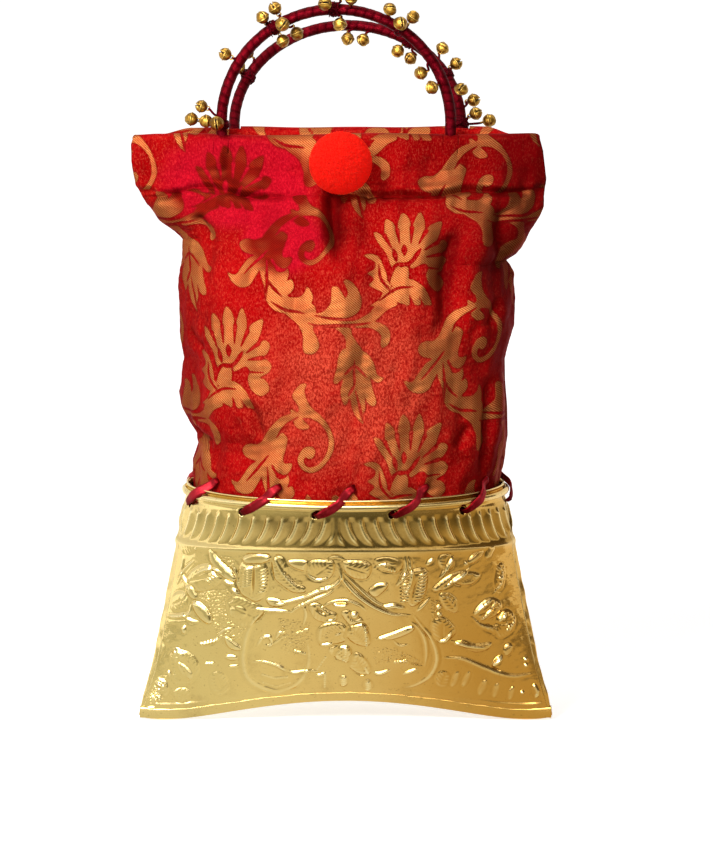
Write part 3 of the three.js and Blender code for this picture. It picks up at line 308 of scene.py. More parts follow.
RELIEF_DOMES = [
    ([(-45.0, 31.9),(-47.9, 37.5),(-48.8, 43.5),(-46.9, 49.1),(-42.7, 53.0),(-38.1, 53.1),(-34.8, 48.8),(-33.7, 42.5),(-34.5, 36.1),(-35.9, 32.4),(-40.4, 33.8)], 1.0, 3.5),
    ([(-32.8, 30.7),(-33.6, 32.1),(-35.9, 33.2),(-39.0, 33.8),(-42.4, 33.8),(-44.8, 33.0),(-45.7, 31.9),(-45.0, 30.5),(-42.7, 29.3),(-39.3, 28.7),(-36.2, 28.7),(-33.7, 29.4)], 1.2, 2.2),
    ([(-31.4, 31.1),(-28.1, 29.7),(-25.5, 33.6),(-24.9, 39.4),(-21.7, 43.8),(-17.5, 46.5),(-18.1, 49.1),(-22.9, 49.0),(-27.2, 45.7),(-31.0, 41.8),(-32.4, 36.7)], 0.8, 2.5),
    ([(-25.4, 32.4),(-20.1, 31.6),(-15.5, 32.8),(-15.8, 37.5),(-18.5, 37.5),(-22.8, 35.5)], 0.9, 2.2),
    ([(-15.3, 32.2),(-9.4, 31.6),(-5.3, 32.5),(-4.7, 37.5),(-7.4, 42.0),(-12.8, 42.6),(-16.7, 39.4)], 1.0, 3),
    ([(-1.2, 32.7),(3.2, 31.8),(9.4, 32.7),(11.5, 36.1),(9.4, 41.7),(3.8, 41.7),(0.0, 38.3)], 1.0, 3),
    ([(12.8, 31.5),(18.8, 30.1),(24.5, 32.8),(24.0, 37.5),(18.8, 38.1),(14.9, 36.4)], 0.6, 2),
    ([(10.2, 47.9),(13.8, 44.3),(18.4, 44.3),(17.8, 47.1),(13.8, 51.3),(11.1, 50.5)], 1.1, 2),
    ([(24.5, 39.5),(29.0, 36.9),(34.8, 36.1),(36.3, 41.4),(35.4, 48.8),(32.1, 54.8),(28.6, 56.4),(26.0, 51.6),(24.8, 44.9)], 1.0, 3.5),
    ([(48.2, 31.1),(48.8, 33.5),(48.3, 35.5),(47.1, 37.0),(45.1, 37.3),(43.3, 36.6),(41.8, 34.9),(41.2, 32.7),(41.5, 30.5),(42.8, 29.1),(44.7, 28.7),(46.6, 29.4)], 0.9, 2.5),
    ([(38.9, 46.3),(43.8, 41.4),(49.8, 38.3),(54.8, 37.6),(51.0, 42.1),(45.4, 46.0),(40.7, 48.0)], 1.1, 2.5),
    ([(47.4, 42.5),(51.7, 38.9),(57.6, 38.4),(61.8, 40.1),(58.0, 44.0),(52.9, 45.6)], 0.8, 2.2),
    ([(64.0, 28.4),(64.0, 29.4),(62.9, 31.0),(61.1, 32.5),(58.8, 33.8),(57.0, 34.2),(55.8, 33.9),(55.8, 32.7),(56.7, 31.1),(58.5, 29.6),(60.6, 28.4),(62.7, 27.9)], 0.8, 2),
    ([(69.4, 29.9),(68.1, 31.5),(66.7, 32.4),(65.6, 32.4),(65.0, 31.6),(65.0, 30.1),(65.6, 28.4),(66.8, 27.0),(68.4, 26.0),(69.6, 26.0),(70.2, 26.8),(70.2, 28.2)], 0.9, 1.8),
    ([(41.9, 49.3),(46.6, 49.1),(50.3, 53.0),(49.7, 58.7),(45.4, 57.6),(42.5, 53.8)], 0.8, 2.5),
    ([(58.0, 59.8),(60.3, 54.7),(66.5, 51.1),(72.2, 53.1),(72.6, 57.3),(67.5, 60.9),(61.4, 62.3)], 0.8, 2.8),
    ([(-75.4, 44.5),(-74.3, 39.8),(-68.4, 35.9),(-61.5, 35.0),(-56.4, 38.3),(-56.8, 43.7),(-63.0, 47.4),(-69.7, 48.6)], 0.9, 3),
    ([(-63.0, 28.7),(-61.1, 27.3),(-58.3, 31.3),(-53.2, 36.4),(-48.5, 41.2),(-50.7, 43.1),(-55.6, 40.6),(-60.8, 36.1)], 1.2, 2),
    ([(-75.2, 45.7),(-71.3, 46.5),(-68.8, 51.0),(-70.8, 52.2),(-74.0, 50.0)], 1.0, 1.6),
    ([(-71.4, 53.9),(-67.5, 53.3),(-62.7, 57.3),(-60.6, 62.7),(-63.0, 63.8),(-68.4, 59.7)], 1.2, 2),
    ([(-43.6, 59.3),(-44.4, 60.9),(-46.2, 61.7),(-48.3, 61.7),(-50.4, 60.7),(-51.8, 59.2),(-52.1, 57.3),(-51.2, 55.9),(-49.4, 55.0),(-47.2, 55.0),(-45.3, 55.9),(-43.9, 57.5)], 0.9, 2),
    ([(-53.0, 52.1),(-48.3, 50.4),(-41.5, 53.6),(-36.0, 57.0),(-39.3, 63.1),(-45.0, 66.6),(-51.2, 62.4),(-53.6, 56.9)], 0.6, 3),
    ([(-34.9, 51.9),(-30.5, 52.1),(-26.1, 54.7),(-28.4, 56.2),(-33.3, 55.5)], 1.0, 1.4),
    ([(-53.9, 70.2),(-49.4, 73.9),(-46.2, 77.0),(-48.2, 78.2),(-52.0, 76.5),(-53.8, 73.6)], 0.9, 1.6),
    ([(-48.2, 82.0),(-48.5, 82.6),(-49.5, 82.9),(-51.0, 82.9),(-52.4, 82.4),(-53.5, 81.7),(-53.8, 80.9),(-53.3, 80.3),(-52.3, 79.9),(-50.7, 80.1),(-49.4, 80.6),(-48.5, 81.2)], 0.7, 1.4),
    ([(-80.4, 77.5),(-77.6, 75.5),(-73.8, 77.9),(-75.4, 83.0),(-78.2, 82.4)], 0.9, 1.6),
    ([(-76.3, 81.8),(-72.6, 83.8),(-69.0, 87.8),(-69.6, 90.2),(-72.9, 88.6),(-76.0, 85.1)], 1.1, 1.6),
    ([(-81.3, 81.3),(-80.4, 77.5),(-73.2, 76.7),(-67.5, 80.7),(-65.8, 86.8),(-68.8, 92.5),(-74.4, 94.2),(-78.8, 90.8)], 0.6, 3.5),
    ([(-61.2, 90.0),(-56.8, 87.7),(-53.0, 90.9),(-51.7, 97.5),(-55.5, 100.2),(-59.7, 97.6)], 0.5, 3),
    ([(-78.2, 96.7),(-74.4, 94.2),(-69.9, 95.8),(-69.6, 100.4),(-74.6, 101.3)], 0.5, 3),
    ([(-16.1, 56.4),(-12.0, 55.0),(-7.7, 58.7),(-3.6, 61.0),(-4.3, 64.8),(-9.0, 65.4),(-13.8, 63.1)], 0.9, 2.4),
    ([(-12.0, 68.3),(-7.3, 65.4),(-1.2, 66.3),(1.7, 70.8),(-0.2, 75.9),(-5.5, 77.5),(-10.9, 78.1),(-12.6, 73.6)], 1.0, 3),
    ([(-7.3, 79.6),(-0.8, 78.2),(2.9, 82.0),(1.7, 87.2),(-2.6, 87.2),(-6.1, 84.1)], 0.9, 3),
    ([(-1.8, 59.8),(1.5, 59.0),(5.3, 61.2),(8.4, 65.8),(5.9, 67.9),(2.1, 67.1),(-0.9, 63.5)], 0.9, 2.4),
    ([(0.3, 72.8),(2.1, 68.2),(7.7, 66.2),(10.8, 71.1),(11.4, 75.8),(9.0, 78.6),(3.9, 77.2)], 1.0, 3),
    ([(-4.7, 85.2),(-3.3, 79.8),(0.9, 78.2),(3.3, 82.1),(2.1, 86.9),(-0.9, 87.7)], 0.9, 2.8),
    ([(1.5, 90.0),(3.9, 82.1),(8.4, 84.4),(11.5, 90.5),(10.2, 94.0),(5.9, 93.9)], 0.9, 2.8),
    ([(14.0, 74.1),(20.1, 71.3),(28.9, 66.6),(30.1, 68.8),(24.5, 72.8),(18.8, 74.7)], 1.1, 2),
    ([(5.8, 61.2),(5.5, 62.0),(4.9, 62.6),(4.1, 62.7),(3.2, 62.6),(2.6, 62.0),(2.3, 61.4),(2.6, 60.6),(3.2, 60.0),(4.1, 59.8),(4.9, 60.0),(5.5, 60.4)], 1.1, 1.4),
    ([(38.3, 63.8),(42.8, 60.7),(48.0, 64.8),(49.4, 68.9),(45.4, 73.6),(40.9, 74.2),(38.3, 70.5)], 0.9, 2.8),
    ([(48.6, 74.7),(52.0, 72.4),(58.6, 73.9),(66.2, 72.8),(64.7, 76.1),(58.5, 78.1),(52.0, 75.9)], 0.7, 1.8),
    ([(56.8, 60.1),(63.0, 63.4),(68.8, 64.6),(69.9, 60.6),(75.8, 56.9),(80.5, 61.2),(78.7, 66.9),(71.4, 70.7),(67.1, 68.0),(60.9, 65.5)], 0.7, 3),
    ([(71.4, 79.0),(71.6, 79.8),(71.1, 81.2),(70.0, 82.6),(68.5, 83.8),(67.3, 84.4),(66.4, 84.3),(66.2, 83.5),(66.7, 82.1),(67.8, 80.7),(69.1, 79.5),(70.5, 78.9)], 1.0, 1.8),
    ([(76.7, 76.8),(75.7, 78.1),(74.4, 78.9),(73.2, 78.9),(72.5, 78.2),(72.3, 76.8),(72.6, 75.5),(73.5, 74.1),(74.9, 73.3),(76.1, 73.3),(76.9, 74.1),(77.2, 75.3)], 0.7, 1.8),
    ([(47.2, 93.0),(46.8, 95.3),(45.3, 97.1),(43.4, 97.9),(41.5, 97.6),(40.1, 96.2),(39.7, 94.0),(40.1, 91.7),(41.5, 89.9),(43.4, 89.1),(45.4, 89.4),(46.8, 90.8)], 0.5, 2.6),
    ([(50.3, 93.4),(49.4, 95.3),(48.2, 96.7),(47.2, 97.0),(46.6, 96.1),(46.8, 94.4),(47.4, 92.2),(48.3, 90.2),(49.5, 88.9),(50.4, 88.6),(51.0, 89.4),(50.9, 91.3)], 0.5, 1.8),
    ([(55.3, 92.5),(54.2, 94.5),(53.2, 95.9),(52.3, 96.2),(51.8, 95.4),(52.0, 93.7),(52.7, 91.6),(53.8, 89.6),(54.8, 88.3),(55.6, 88.0),(56.1, 88.8),(55.9, 90.5)], 0.5, 1.8),
    ([(62.9, 95.9),(61.7, 97.9),(60.6, 99.2),(59.6, 99.5),(59.1, 98.5),(59.1, 96.8),(59.9, 94.8),(60.9, 92.8),(62.1, 91.6),(63.0, 91.4),(63.7, 92.2),(63.5, 93.9)], 0.5, 1.8),
    ([(68.8, 96.4),(68.1, 98.2),(67.1, 99.5),(66.4, 99.8),(65.8, 99.2),(65.8, 97.8),(66.1, 95.8),(66.8, 93.9),(67.8, 92.7),(68.5, 92.3),(69.1, 93.0),(69.3, 94.4)], 0.5, 1.8),
    ([(76.0, 97.1),(75.2, 98.8),(74.3, 99.9),(73.5, 100.2),(72.9, 99.6),(72.9, 98.2),(73.2, 96.5),(74.0, 95.0),(74.9, 93.9),(75.8, 93.6),(76.3, 94.2),(76.4, 95.4)], 0.5, 1.8),
    ([(87.4, 96.1),(87.2, 97.6),(86.7, 98.8),(86.0, 99.3),(85.2, 99.0),(84.6, 97.8),(84.3, 96.2),(84.5, 94.7),(85.1, 93.4),(85.8, 92.8),(86.6, 93.3),(87.2, 94.5)], 0.6, 1.8),
    ([(1.1, 97.8),(0.8, 99.5),(0.0, 100.6),(-0.9, 101.0),(-2.0, 100.6),(-2.7, 99.5),(-2.9, 97.8),(-2.7, 96.2),(-2.0, 95.1),(-0.9, 94.7),(0.0, 95.1),(0.8, 96.2)], 0.7, 1.8),
    ([(12.2, 99.9),(11.8, 101.5),(11.1, 102.7),(9.9, 103.3),(8.8, 102.9),(8.1, 101.6),(7.7, 100.1),(8.1, 98.4),(8.8, 97.1),(9.9, 96.7),(11.1, 97.0),(11.8, 98.2)], 0.7, 1.8),
    ([(-74.1, 66.6),(-74.1, 67.6),(-74.4, 68.3),(-74.9, 68.6),(-75.5, 68.3),(-76.0, 67.7),(-76.3, 66.6),(-76.1, 65.7),(-75.8, 65.1),(-75.4, 64.8),(-74.7, 64.9),(-74.3, 65.7)], 0.9, 1.2),
    ([(-80.2, 87.5),(-80.1, 88.3),(-80.1, 88.9),(-80.2, 89.2),(-80.7, 89.1),(-81.1, 88.6),(-81.6, 87.8),(-81.7, 87.2),(-81.7, 86.6),(-81.4, 86.3),(-81.1, 86.3),(-80.7, 86.8)], 0.9, 1.2),
    ([(-80.7, 93.3),(-79.9, 95.4),(-80.1, 97.3),(-81.0, 98.4),(-82.5, 98.2),(-84.0, 97.1),(-85.5, 95.3),(-86.3, 93.1),(-86.3, 91.3),(-85.4, 90.2),(-83.9, 90.2),(-82.0, 91.3)], 0.6, 2.4),
    ([(-74.4, 55.0),(-76.1, 57.3),(-78.5, 58.7),(-81.4, 58.9),(-84.0, 57.9),(-85.5, 55.9),(-85.5, 53.3),(-83.9, 51.0),(-81.0, 49.3),(-77.9, 49.0),(-75.5, 50.2),(-74.3, 52.4)], 0.6, 3),
    ([(-71.4, 27.6),(-71.9, 29.4),(-73.5, 30.8),(-76.1, 31.6),(-79.0, 31.5),(-81.6, 30.5),(-82.9, 29.1),(-82.3, 27.3),(-80.2, 25.7),(-77.2, 24.9),(-74.3, 24.9),(-72.2, 26.0)], 0.5, 3),
    ([(76.6, 42.1),(75.4, 45.4),(73.7, 47.6),(71.9, 48.2),(70.6, 47.1),(69.9, 44.6),(70.2, 41.2),(71.3, 38.1),(72.9, 35.8),(74.7, 35.3),(76.3, 36.4),(77.0, 38.9)], 0.5, 3),
]
RELIEF_RIDGES = [
    ([(-35.7, 57.6),(-40.7, 63.2),(-43.8, 70.2),(-45.6, 80.4),(-44.4, 90.5),(-39.5, 97.0),(-31.0, 101.3),(-22.5, 99.0),(-17.3, 92.0),(-16.1, 81.8),(-17.9, 71.9)], 1.0, 0.55),
    ([(-42.5, 84.9),(-37.2, 84.9),(-30.4, 87.8),(-26.9, 90.3),(-22.9, 92.3),(-15.8, 91.7),(-9.1, 93.7)], 0.5, 0.75),
    ([(-39.3, 76.8),(-37.1, 72.8),(-33.9, 72.0),(-32.7, 75.3),(-34.5, 77.8)], 0.5, 0.7),
    ([(-30.8, 73.7),(-29.0, 70.2),(-26.7, 70.8)], 0.5, 0.6),
    ([(-37.1, 73.9),(-35.2, 76.7),(-31.8, 75.9),(-28.1, 73.0),(-24.5, 71.6)], 0.4, 0.35),
    ([(-12.0, 59.0),(-6.7, 54.7),(-0.2, 53.6),(5.5, 55.8),(9.9, 60.1)], 0.45, 0.6),
    ([(-70.5, 40.7),(-64.9, 37.5),(-58.3, 37.2),(-53.2, 41.1)], 0.5, 0.5),
    ([(57.3, 35.6),(53.2, 39.5),(47.7, 42.9),(42.1, 47.6)], 0.45, 0.6),
    ([(27.0, 32.1),(28.9, 37.3),(28.0, 44.8),(24.9, 51.1)], 0.45, 0.6),
    ([(-31.8, 28.5),(-29.2, 34.7),(-25.2, 41.5),(-19.9, 48.0)], 0.45, 0.5),
    ([(-51.2, 34.1),(-48.6, 40.0),(-48.2, 46.5)], 0.45, 0.6),
    ([(69.6, 52.5),(65.5, 58.3),(60.2, 63.2)], 0.45, 0.5),
    ([(46.6, 73.1),(54.1, 75.0),(63.7, 75.5)], 0.45, 0.5),
    ([(-77.9, 58.7),(-72.3, 62.1),(-66.8, 63.1)], 0.45, 0.5),
    ([(-58.9, 72.2),(-54.7, 67.4),(-49.1, 66.8)], 0.4, 0.45),
    ([(-71.7, 33.8),(-78.1, 39.0),(-82.2, 46.0)], 0.45, 0.5),
    ([(-19.9, 53.5),(-17.3, 60.0),(-18.7, 67.4)], 0.4, 0.45),
    ([(12.2, 75.3),(19.6, 71.7),(28.6, 66.9)], 0.4, 0.5),
    ([(-8.4, 32.1),(-4.1, 29.9),(0.3, 32.1)], 0.4, 0.4),
    ([(-3.2, 33.6),(-1.5, 40.1),(-4.7, 45.2),(-12.8, 49.1),(-19.1, 52.1),(-27.8, 54.4),(-32.2, 54.5)], 0.55, 0.75),
    ([(-1.5, 42.6),(-6.8, 49.3),(-13.2, 52.8),(-21.3, 57.2),(-25.1, 60.9)], 0.5, 0.55),
    ([(-22.9, 59.3),(-28.9, 58.6),(-35.4, 57.9),(-41.6, 56.4)], 0.5, 0.7),
    ([(-3.3, 35.5),(-1.2, 41.7),(4.4, 49.9),(12.2, 56.7),(20.7, 60.7),(29.8, 61.2)], 0.6, 0.8),
    ([(-1.2, 38.3),(4.4, 45.1),(9.9, 51.3),(16.1, 56.1),(25.2, 57.5)], 0.5, 0.55),
    ([(30.1, 60.9),(33.3, 66.3),(37.7, 71.9),(40.3, 79.2),(40.3, 85.8),(37.1, 92.8),(30.8, 98.2),(25.2, 100.4)], 0.8, 0.6),
    ([(28.3, 64.3),(32.7, 67.9),(35.2, 73.6),(35.9, 81.0),(35.2, 87.8)], 0.6, 0.45),
    ([(31.4, 58.9),(34.3, 55.5),(37.5, 51.3)], 0.45, 0.7),
    ([(58.3, 59.2),(62.3, 55.3),(67.6, 51.7)], 0.5, 0.8),
    ([(72.3, 61.2),(74.7, 58.4)], 0.5, 0.9),
    ([(70.8, 62.6),(74.0, 58.9)], 0.5, 0.9),
    ([(41.2, 82.9),(51.8, 82.1),(62.3, 85.5),(74.3, 88.8),(85.8, 88.3)], 0.8, 0.55),
    ([(-55.0, 42.5),(-50.1, 44.9)], 0.5, 0.9),
    ([(-51.0, 46.3),(-47.6, 50.0)], 0.5, 0.9),
    ([(-16.7, 38.7),(-12.8, 42.1),(-6.8, 40.6)], 0.5, 0.8),
    ([(-84.2, 24.8),(-79.8, 32.5),(-79.8, 40.4),(-75.0, 46.8),(-78.7, 55.0)], 0.6, 0.5),
    ([(-77.8, 21.1),(-68.5, 22.8),(-59.7, 27.7)], 0.5, 0.45),
    ([(26.1, 29.4),(26.7, 35.5),(24.5, 42.1),(22.3, 45.6)], 0.5, 0.8),
    ([(27.3, 29.4),(28.4, 34.1),(26.3, 40.9)], 0.4, 0.5),
    ([(48.6, 29.9),(46.5, 33.0),(44.4, 37.5),(41.9, 41.4)], 0.55, 0.9),
    ([(35.7, 34.6),(38.9, 31.0)], 0.5, 0.8),
    ([(16.7, 56.7),(21.1, 56.1),(26.3, 57.5)], 0.7, 0.9),
    ([(25.2, 93.0),(32.1, 89.1)], 0.45, 0.8),
    ([(12.2, 92.7),(15.2, 93.4),(20.2, 90.8)], 0.6, 0.8),
    ([(41.2, 73.9),(44.8, 72.2),(47.4, 68.0)], 0.6, 1.0),
    ([(20.2, 73.9),(23.9, 77.5),(28.3, 76.4)], 0.4, 0.4),
    ([(-88.7, 61.4),(-80.4, 60.9),(-73.1, 59.2),(-71.9, 54.5)], 0.6, 0.6),
    ([(-88.3, 84.6),(-86.0, 76.7),(-88.7, 72.0)], 0.6, 0.45),
    ([(-53.0, 86.1),(-46.8, 86.1)], 0.5, 0.4),
    ([(-66.4, 74.2),(-59.7, 72.5),(-54.5, 69.4)], 0.5, 0.5),
    ([(-13.4, 94.8),(-9.1, 93.6)], 0.5, 0.8),
    ([(-4.9, 72.2),(-1.8, 70.8)], 0.4, 0.4),
    ([(-11.5, 77.6),(-5.5, 76.5)], 0.6, 0.9),
    ([(-10.2, 65.4),(-4.3, 63.2)], 0.5, 0.7),
    ([(66.4, 84.1),(71.6, 79.5)], 0.6, 1.0),
    ([(85.7, 93.1),(86.6, 97.1),(85.1, 99.5)], 0.45, 0.9),
    ([(-87.2, 97.8),(-85.5, 102.1)], 0.4, 0.8),
    ([(-86.9, 92.0),(-82.5, 94.2)], 0.4, 0.8),
    ([(70.6, 35.5),(74.3, 39.4),(72.9, 45.2),(68.1, 49.9)], 0.4, 0.4),
    ([(12.2, 36.9),(15.5, 34.1),(22.2, 33.8)], 0.35, 0.5),
]
RELIEF_GROOVES = [
    ([(-40.4, 34.4),(-40.6, 42.5),(-40.7, 49.4)], 0.45, 0.9),
    ([(31.9, 40.7),(30.5, 46.2),(29.2, 51.3)], 0.45, 0.8),
    ([(-57.0, 33.0),(-49.7, 38.7),(-48.5, 46.0),(-45.0, 51.6)], 0.4, 0.5),
    ([(-33.6, 29.9),(-32.1, 37.3),(-31.4, 42.5)], 0.5, 0.6),
    ([(-13.2, 55.8),(-10.8, 59.0),(-7.7, 61.0)], 0.5, 0.9),
    ([(-27.8, 89.2),(-23.7, 93.0)], 0.5, 0.7),
    ([(65.3, 85.1),(70.3, 86.5)], 0.5, 0.8),
    ([(56.8, 59.8),(61.7, 63.7),(68.1, 64.8)], 0.5, 0.7),
    ([(30.1, 62.0),(33.9, 68.5),(38.3, 74.1)], 0.5, 0.5),
    ([(-1.5, 62.1),(2.1, 67.2),(7.7, 66.2),(10.5, 71.6),(10.8, 76.5)], 0.4, 0.6),
    ([(-4.7, 85.2),(0.9, 87.7)], 0.4, 0.6),
    ([(1.5, 90.0),(6.5, 94.7),(10.8, 93.3)], 0.4, 0.6),
    ([(-5.5, 84.3),(-2.0, 87.2)], 0.5, 0.8),
    ([(-40.6, 64.8),(-34.9, 58.3)], 0.45, 0.7),
    ([(-52.4, 53.9),(-50.1, 51.6)], 0.5, 0.6),
    ([(28.3, 86.3),(35.2, 87.4)], 0.5, 0.5),
    ([(41.5, 82.9),(51.8, 82.7),(62.3, 86.1)], 0.3, 0.3),
    ([(42.5, 49.9),(46.6, 50.5),(49.7, 55.6)], 0.4, 0.5),
    ([(47.4, 42.8),(51.0, 44.6),(57.4, 44.6)], 0.4, 0.6),
]
RELIEF_DASHES = [
    ([(-43.0, 35.6),(-43.6, 41.2),(-44.1, 45.4)], 8, 3.6, 0.35, 0.55),
    ([(-36.2, 36.1),(-36.0, 42.5),(-36.8, 48.6)], 8, 3.0, 0.35, 0.55),
    ([(26.1, 38.1),(26.0, 44.9),(26.0, 54.4)], 9, 3.6, 0.38, 0.6),
    ([(34.2, 38.1),(33.7, 44.8),(32.4, 53.5)], 9, 3.4, 0.38, 0.6),
    ([(-63.2, 43.2),(-60.0, 40.4),(-57.3, 38.9)], 5, 3.4, 0.35, 0.6),
    ([(50.4, 42.8),(54.2, 41.8),(58.8, 40.9)], 7, 2.6, 0.3, -0.5),
    ([(-9.7, 72.8),(-6.1, 69.3),(-1.8, 67.4)], 7, 3.0, 0.28, -0.4),
    ([(2.1, 69.7),(5.3, 71.3),(8.4, 75.1)], 7, 3.0, 0.28, -0.4),
    ([(-3.3, 79.8),(-1.5, 82.9),(-0.3, 86.9)], 5, 2.4, 0.28, -0.4),
    ([(4.7, 85.2),(7.1, 88.3),(8.7, 92.2)], 6, 2.4, 0.28, -0.4),
    ([(-0.9, 95.9),(-0.9, 100.2)], 4, 1.8, 0.3, 0.5),
    ([(9.9, 98.1),(10.2, 101.9)], 4, 1.8, 0.3, 0.5),
    ([(74.3, 63.4),(77.2, 66.8)], 3, 2.0, 0.3, 0.5),
    ([(16.6, 33.5),(19.4, 36.4),(22.2, 37.5)], 5, 2.0, 0.3, 0.5),
]
RELIEF_DOTS = [
    ([(-37.4, 91.6),(-31.6, 94.4),(-25.5, 94.4)], 12, 0.42, 0.5),
    ([(-37.1, 95.9),(-31.0, 99.3),(-24.3, 97.5)], 12, 0.42, 0.5),
    ([(-22.9, 80.4),(-17.5, 82.3)], 5, 0.5, 0.6),
    ([(-9.1, 93.1),(-9.3, 101.5)], 7, 0.45, 0.6),
    ([(-12.8, 91.6),(-8.5, 84.1)], 6, 0.45, 0.5),
    ([(-84.9, 95.0),(-83.6, 100.6)], 6, 0.45, 0.7),
    ([(-89.2, 105.0),(-85.5, 104.0)], 4, 0.5, 0.7),
    ([(-22.3, 71.6),(-16.3, 68.9)], 6, 0.45, 0.5),
    ([(8.7, 67.4),(9.3, 78.1)], 8, 0.45, 0.6),
    ([(74.3, 67.1),(79.3, 63.1)], 4, 0.45, 0.7),
    ([(21.4, 86.8),(27.6, 85.5)], 5, 0.5, 0.6),
    ([(0.3, 79.0),(-0.9, 86.1)], 6, 0.45, 0.5),
    ([(8.7, 89.9),(10.2, 93.7)], 5, 0.45, 0.5),
    ([(-66.4, 73.6),(-57.1, 72.0)], 6, 0.5, 0.7),
    ([(-63.4, 83.4),(-59.4, 83.7)], 3, 0.6, 0.7),
    ([(-79.0, 76.7),(-78.1, 77.3)], 1, 1.0, 1.0),
    ([(54.4, 33.3),(54.4, 34.9)], 2, 0.5, 0.6),
    ([(-11.8, 47.3),(-7.1, 46.6)], 2, 0.8, 0.6),
    ([(-5.3, 55.2),(0.5, 55.2)], 7, 0.6, 0.9),
    ([(-4.6, 55.9),(0.9, 55.2)], 6, 0.6, 0.9),
    ([(83.7, 79.8),(83.3, 85.4)], 2, 0.7, 0.9),
    ([(79.8, 96.4),(80.1, 96.8)], 1, 0.7, 0.9),
    ([(41.5, 54.2),(41.9, 61.8)], 2, 0.9, 1.0),
    ([(72.8, 42.0),(73.2, 42.3)], 1, 0.8, 0.9),
    ([(-68.1, 23.9),(-67.8, 26.0)], 2, 0.8, 1.0),
    ([(-70.9, 27.6),(-70.5, 28.7)], 1, 0.6, 0.8),
]
RELIEF_STIPPLE = [
    [(-61.1, 27.9),(-53.3, 26.2),(-48.5, 33.9),(-49.7, 38.7),(-55.8, 36.4)],
    [(-67.6, 48.6),(-53.2, 46.6),(-48.3, 50.4),(-53.0, 54.5),(-62.7, 54.4),(-67.5, 52.1)],
    [(-31.9, 29.3),(-26.6, 30.4),(-25.5, 39.4),(-18.1, 44.5),(-22.8, 46.5),(-29.3, 42.5)],
    [(-63.0, 52.4),(-52.1, 52.5),(-48.2, 60.9),(-41.8, 64.0),(-46.8, 73.4),(-57.1, 72.0),(-62.7, 62.4)],
    [(-53.3, 26.8),(-41.5, 27.0),(-41.5, 31.3),(-49.7, 30.8)],
    [(14.9, 31.5),(24.5, 30.8),(24.5, 37.5),(16.6, 37.5)],
    [(-29.5, 62.4),(-15.0, 65.2),(-13.8, 75.8),(-22.3, 84.1),(-28.4, 80.7)],
    [(10.8, 78.9),(21.4, 78.4),(32.7, 84.3),(30.2, 88.3),(21.4, 86.8),(12.8, 90.5)],
    [(40.7, 27.7),(46.8, 27.9),(46.2, 31.1),(42.5, 31.6)],
    [(37.7, 52.8),(44.2, 52.7),(42.8, 65.7),(38.3, 65.2)],
    [(-89.0, 102.6),(-85.8, 89.4),(-81.7, 89.1),(-82.8, 101.8)],
]


# ------------------------------------------------------------------ mesh making
def row_frame(p):
    """Millimetres above the foot to metres in the row frame."""
    p = np.asarray(p, float).reshape(-1, 3) * 1.0
    p[:, 2] -= CARRY
    return p / 1000.0


def new_piece(name, points, faces, material, values=None, uv=None, smooth=True):
    """points in mm; values: name -> one float per point; uv: one pair per point."""
    me = bpy.data.meshes.new(name)
    me.from_pydata(row_frame(points).tolist(), [], [list(map(int, f)) for f in faces])
    me.update()
    for key, v in (values or {}).items():
        a = me.attributes.new(key, "FLOAT", "POINT")
        a.data.foreach_set("value", np.asarray(v, np.float32).ravel())
    if uv is not None:
        layer = me.uv_layers.new(name="UVMap")
        ix = np.zeros(len(me.loops), np.int32)
        me.loops.foreach_get("vertex_index", ix)
        layer.data.foreach_set("uv", np.asarray(uv, np.float32)[ix].ravel())
    me.polygons.foreach_set("use_smooth", np.full(len(me.polygons), smooth))
    me.materials.append(material)
    ob = bpy.data.objects.new(name, me)
    scene.collection.objects.link(ob)
    return ob


def grid_faces(nr, nc, closed=False, base=0):
    """Quads of a grid stored row by row, facing along (columns) x (rows)."""
    r, c = np.meshgrid(np.arange(nr - 1), np.arange(nc if closed else nc - 1), indexing="ij")
    c1 = (c + 1) % nc
    return np.stack([r * nc + c, r * nc + c1, (r + 1) * nc + c1, (r + 1) * nc + c], -1).reshape(-1, 4) + base


def grid_normals(P, closed=False):
    if closed:
        du = np.roll(P, -1, axis=1) - np.roll(P, 1, axis=1)
    else:
        du = np.gradient(P, axis=1)
    dv = np.gradient(P, axis=0)
    return unit(np.cross(du, dv))


def thick_sheet(P, N, out, inn, keep=None, closed=False):
    """Two skins either side of a grid and the edge that joins them, round every hole too."""
    nr, nc = P.shape[:2]
    F = grid_faces(nr, nc, closed)
    if keep is not None:
        F = F[keep.ravel()]
    pts = np.concatenate([(P + N * out).reshape(-1, 3), (P - N * inn).reshape(-1, 3)])
    n = nr * nc
    e = np.concatenate([F[:, [0, 1]], F[:, [1, 2]], F[:, [2, 3]], F[:, [3, 0]]])
    key = e.min(1) * n + e.max(1)
    _, first, count = np.unique(key, return_index=True, return_counts=True)
    b = e[first[count == 1]]
    rim = np.stack([b[:, 1], b[:, 0], b[:, 0] + n, b[:, 1] + n], -1)
    faces = np.concatenate([F, F[:, ::-1] + n, rim])
    used = np.zeros(2 * n, bool)
    used[faces.ravel()] = True
    new = np.cumsum(used) - 1
    return pts[used], new[faces], used


def both(v, used):
    """A value given on the grid, for the two skins of thick_sheet."""
    v = np.asarray(v, float)
    v = v.reshape(-1, v.shape[-1]) if v.ndim == 3 else v.ravel()
    return np.concatenate([v, v])[used]


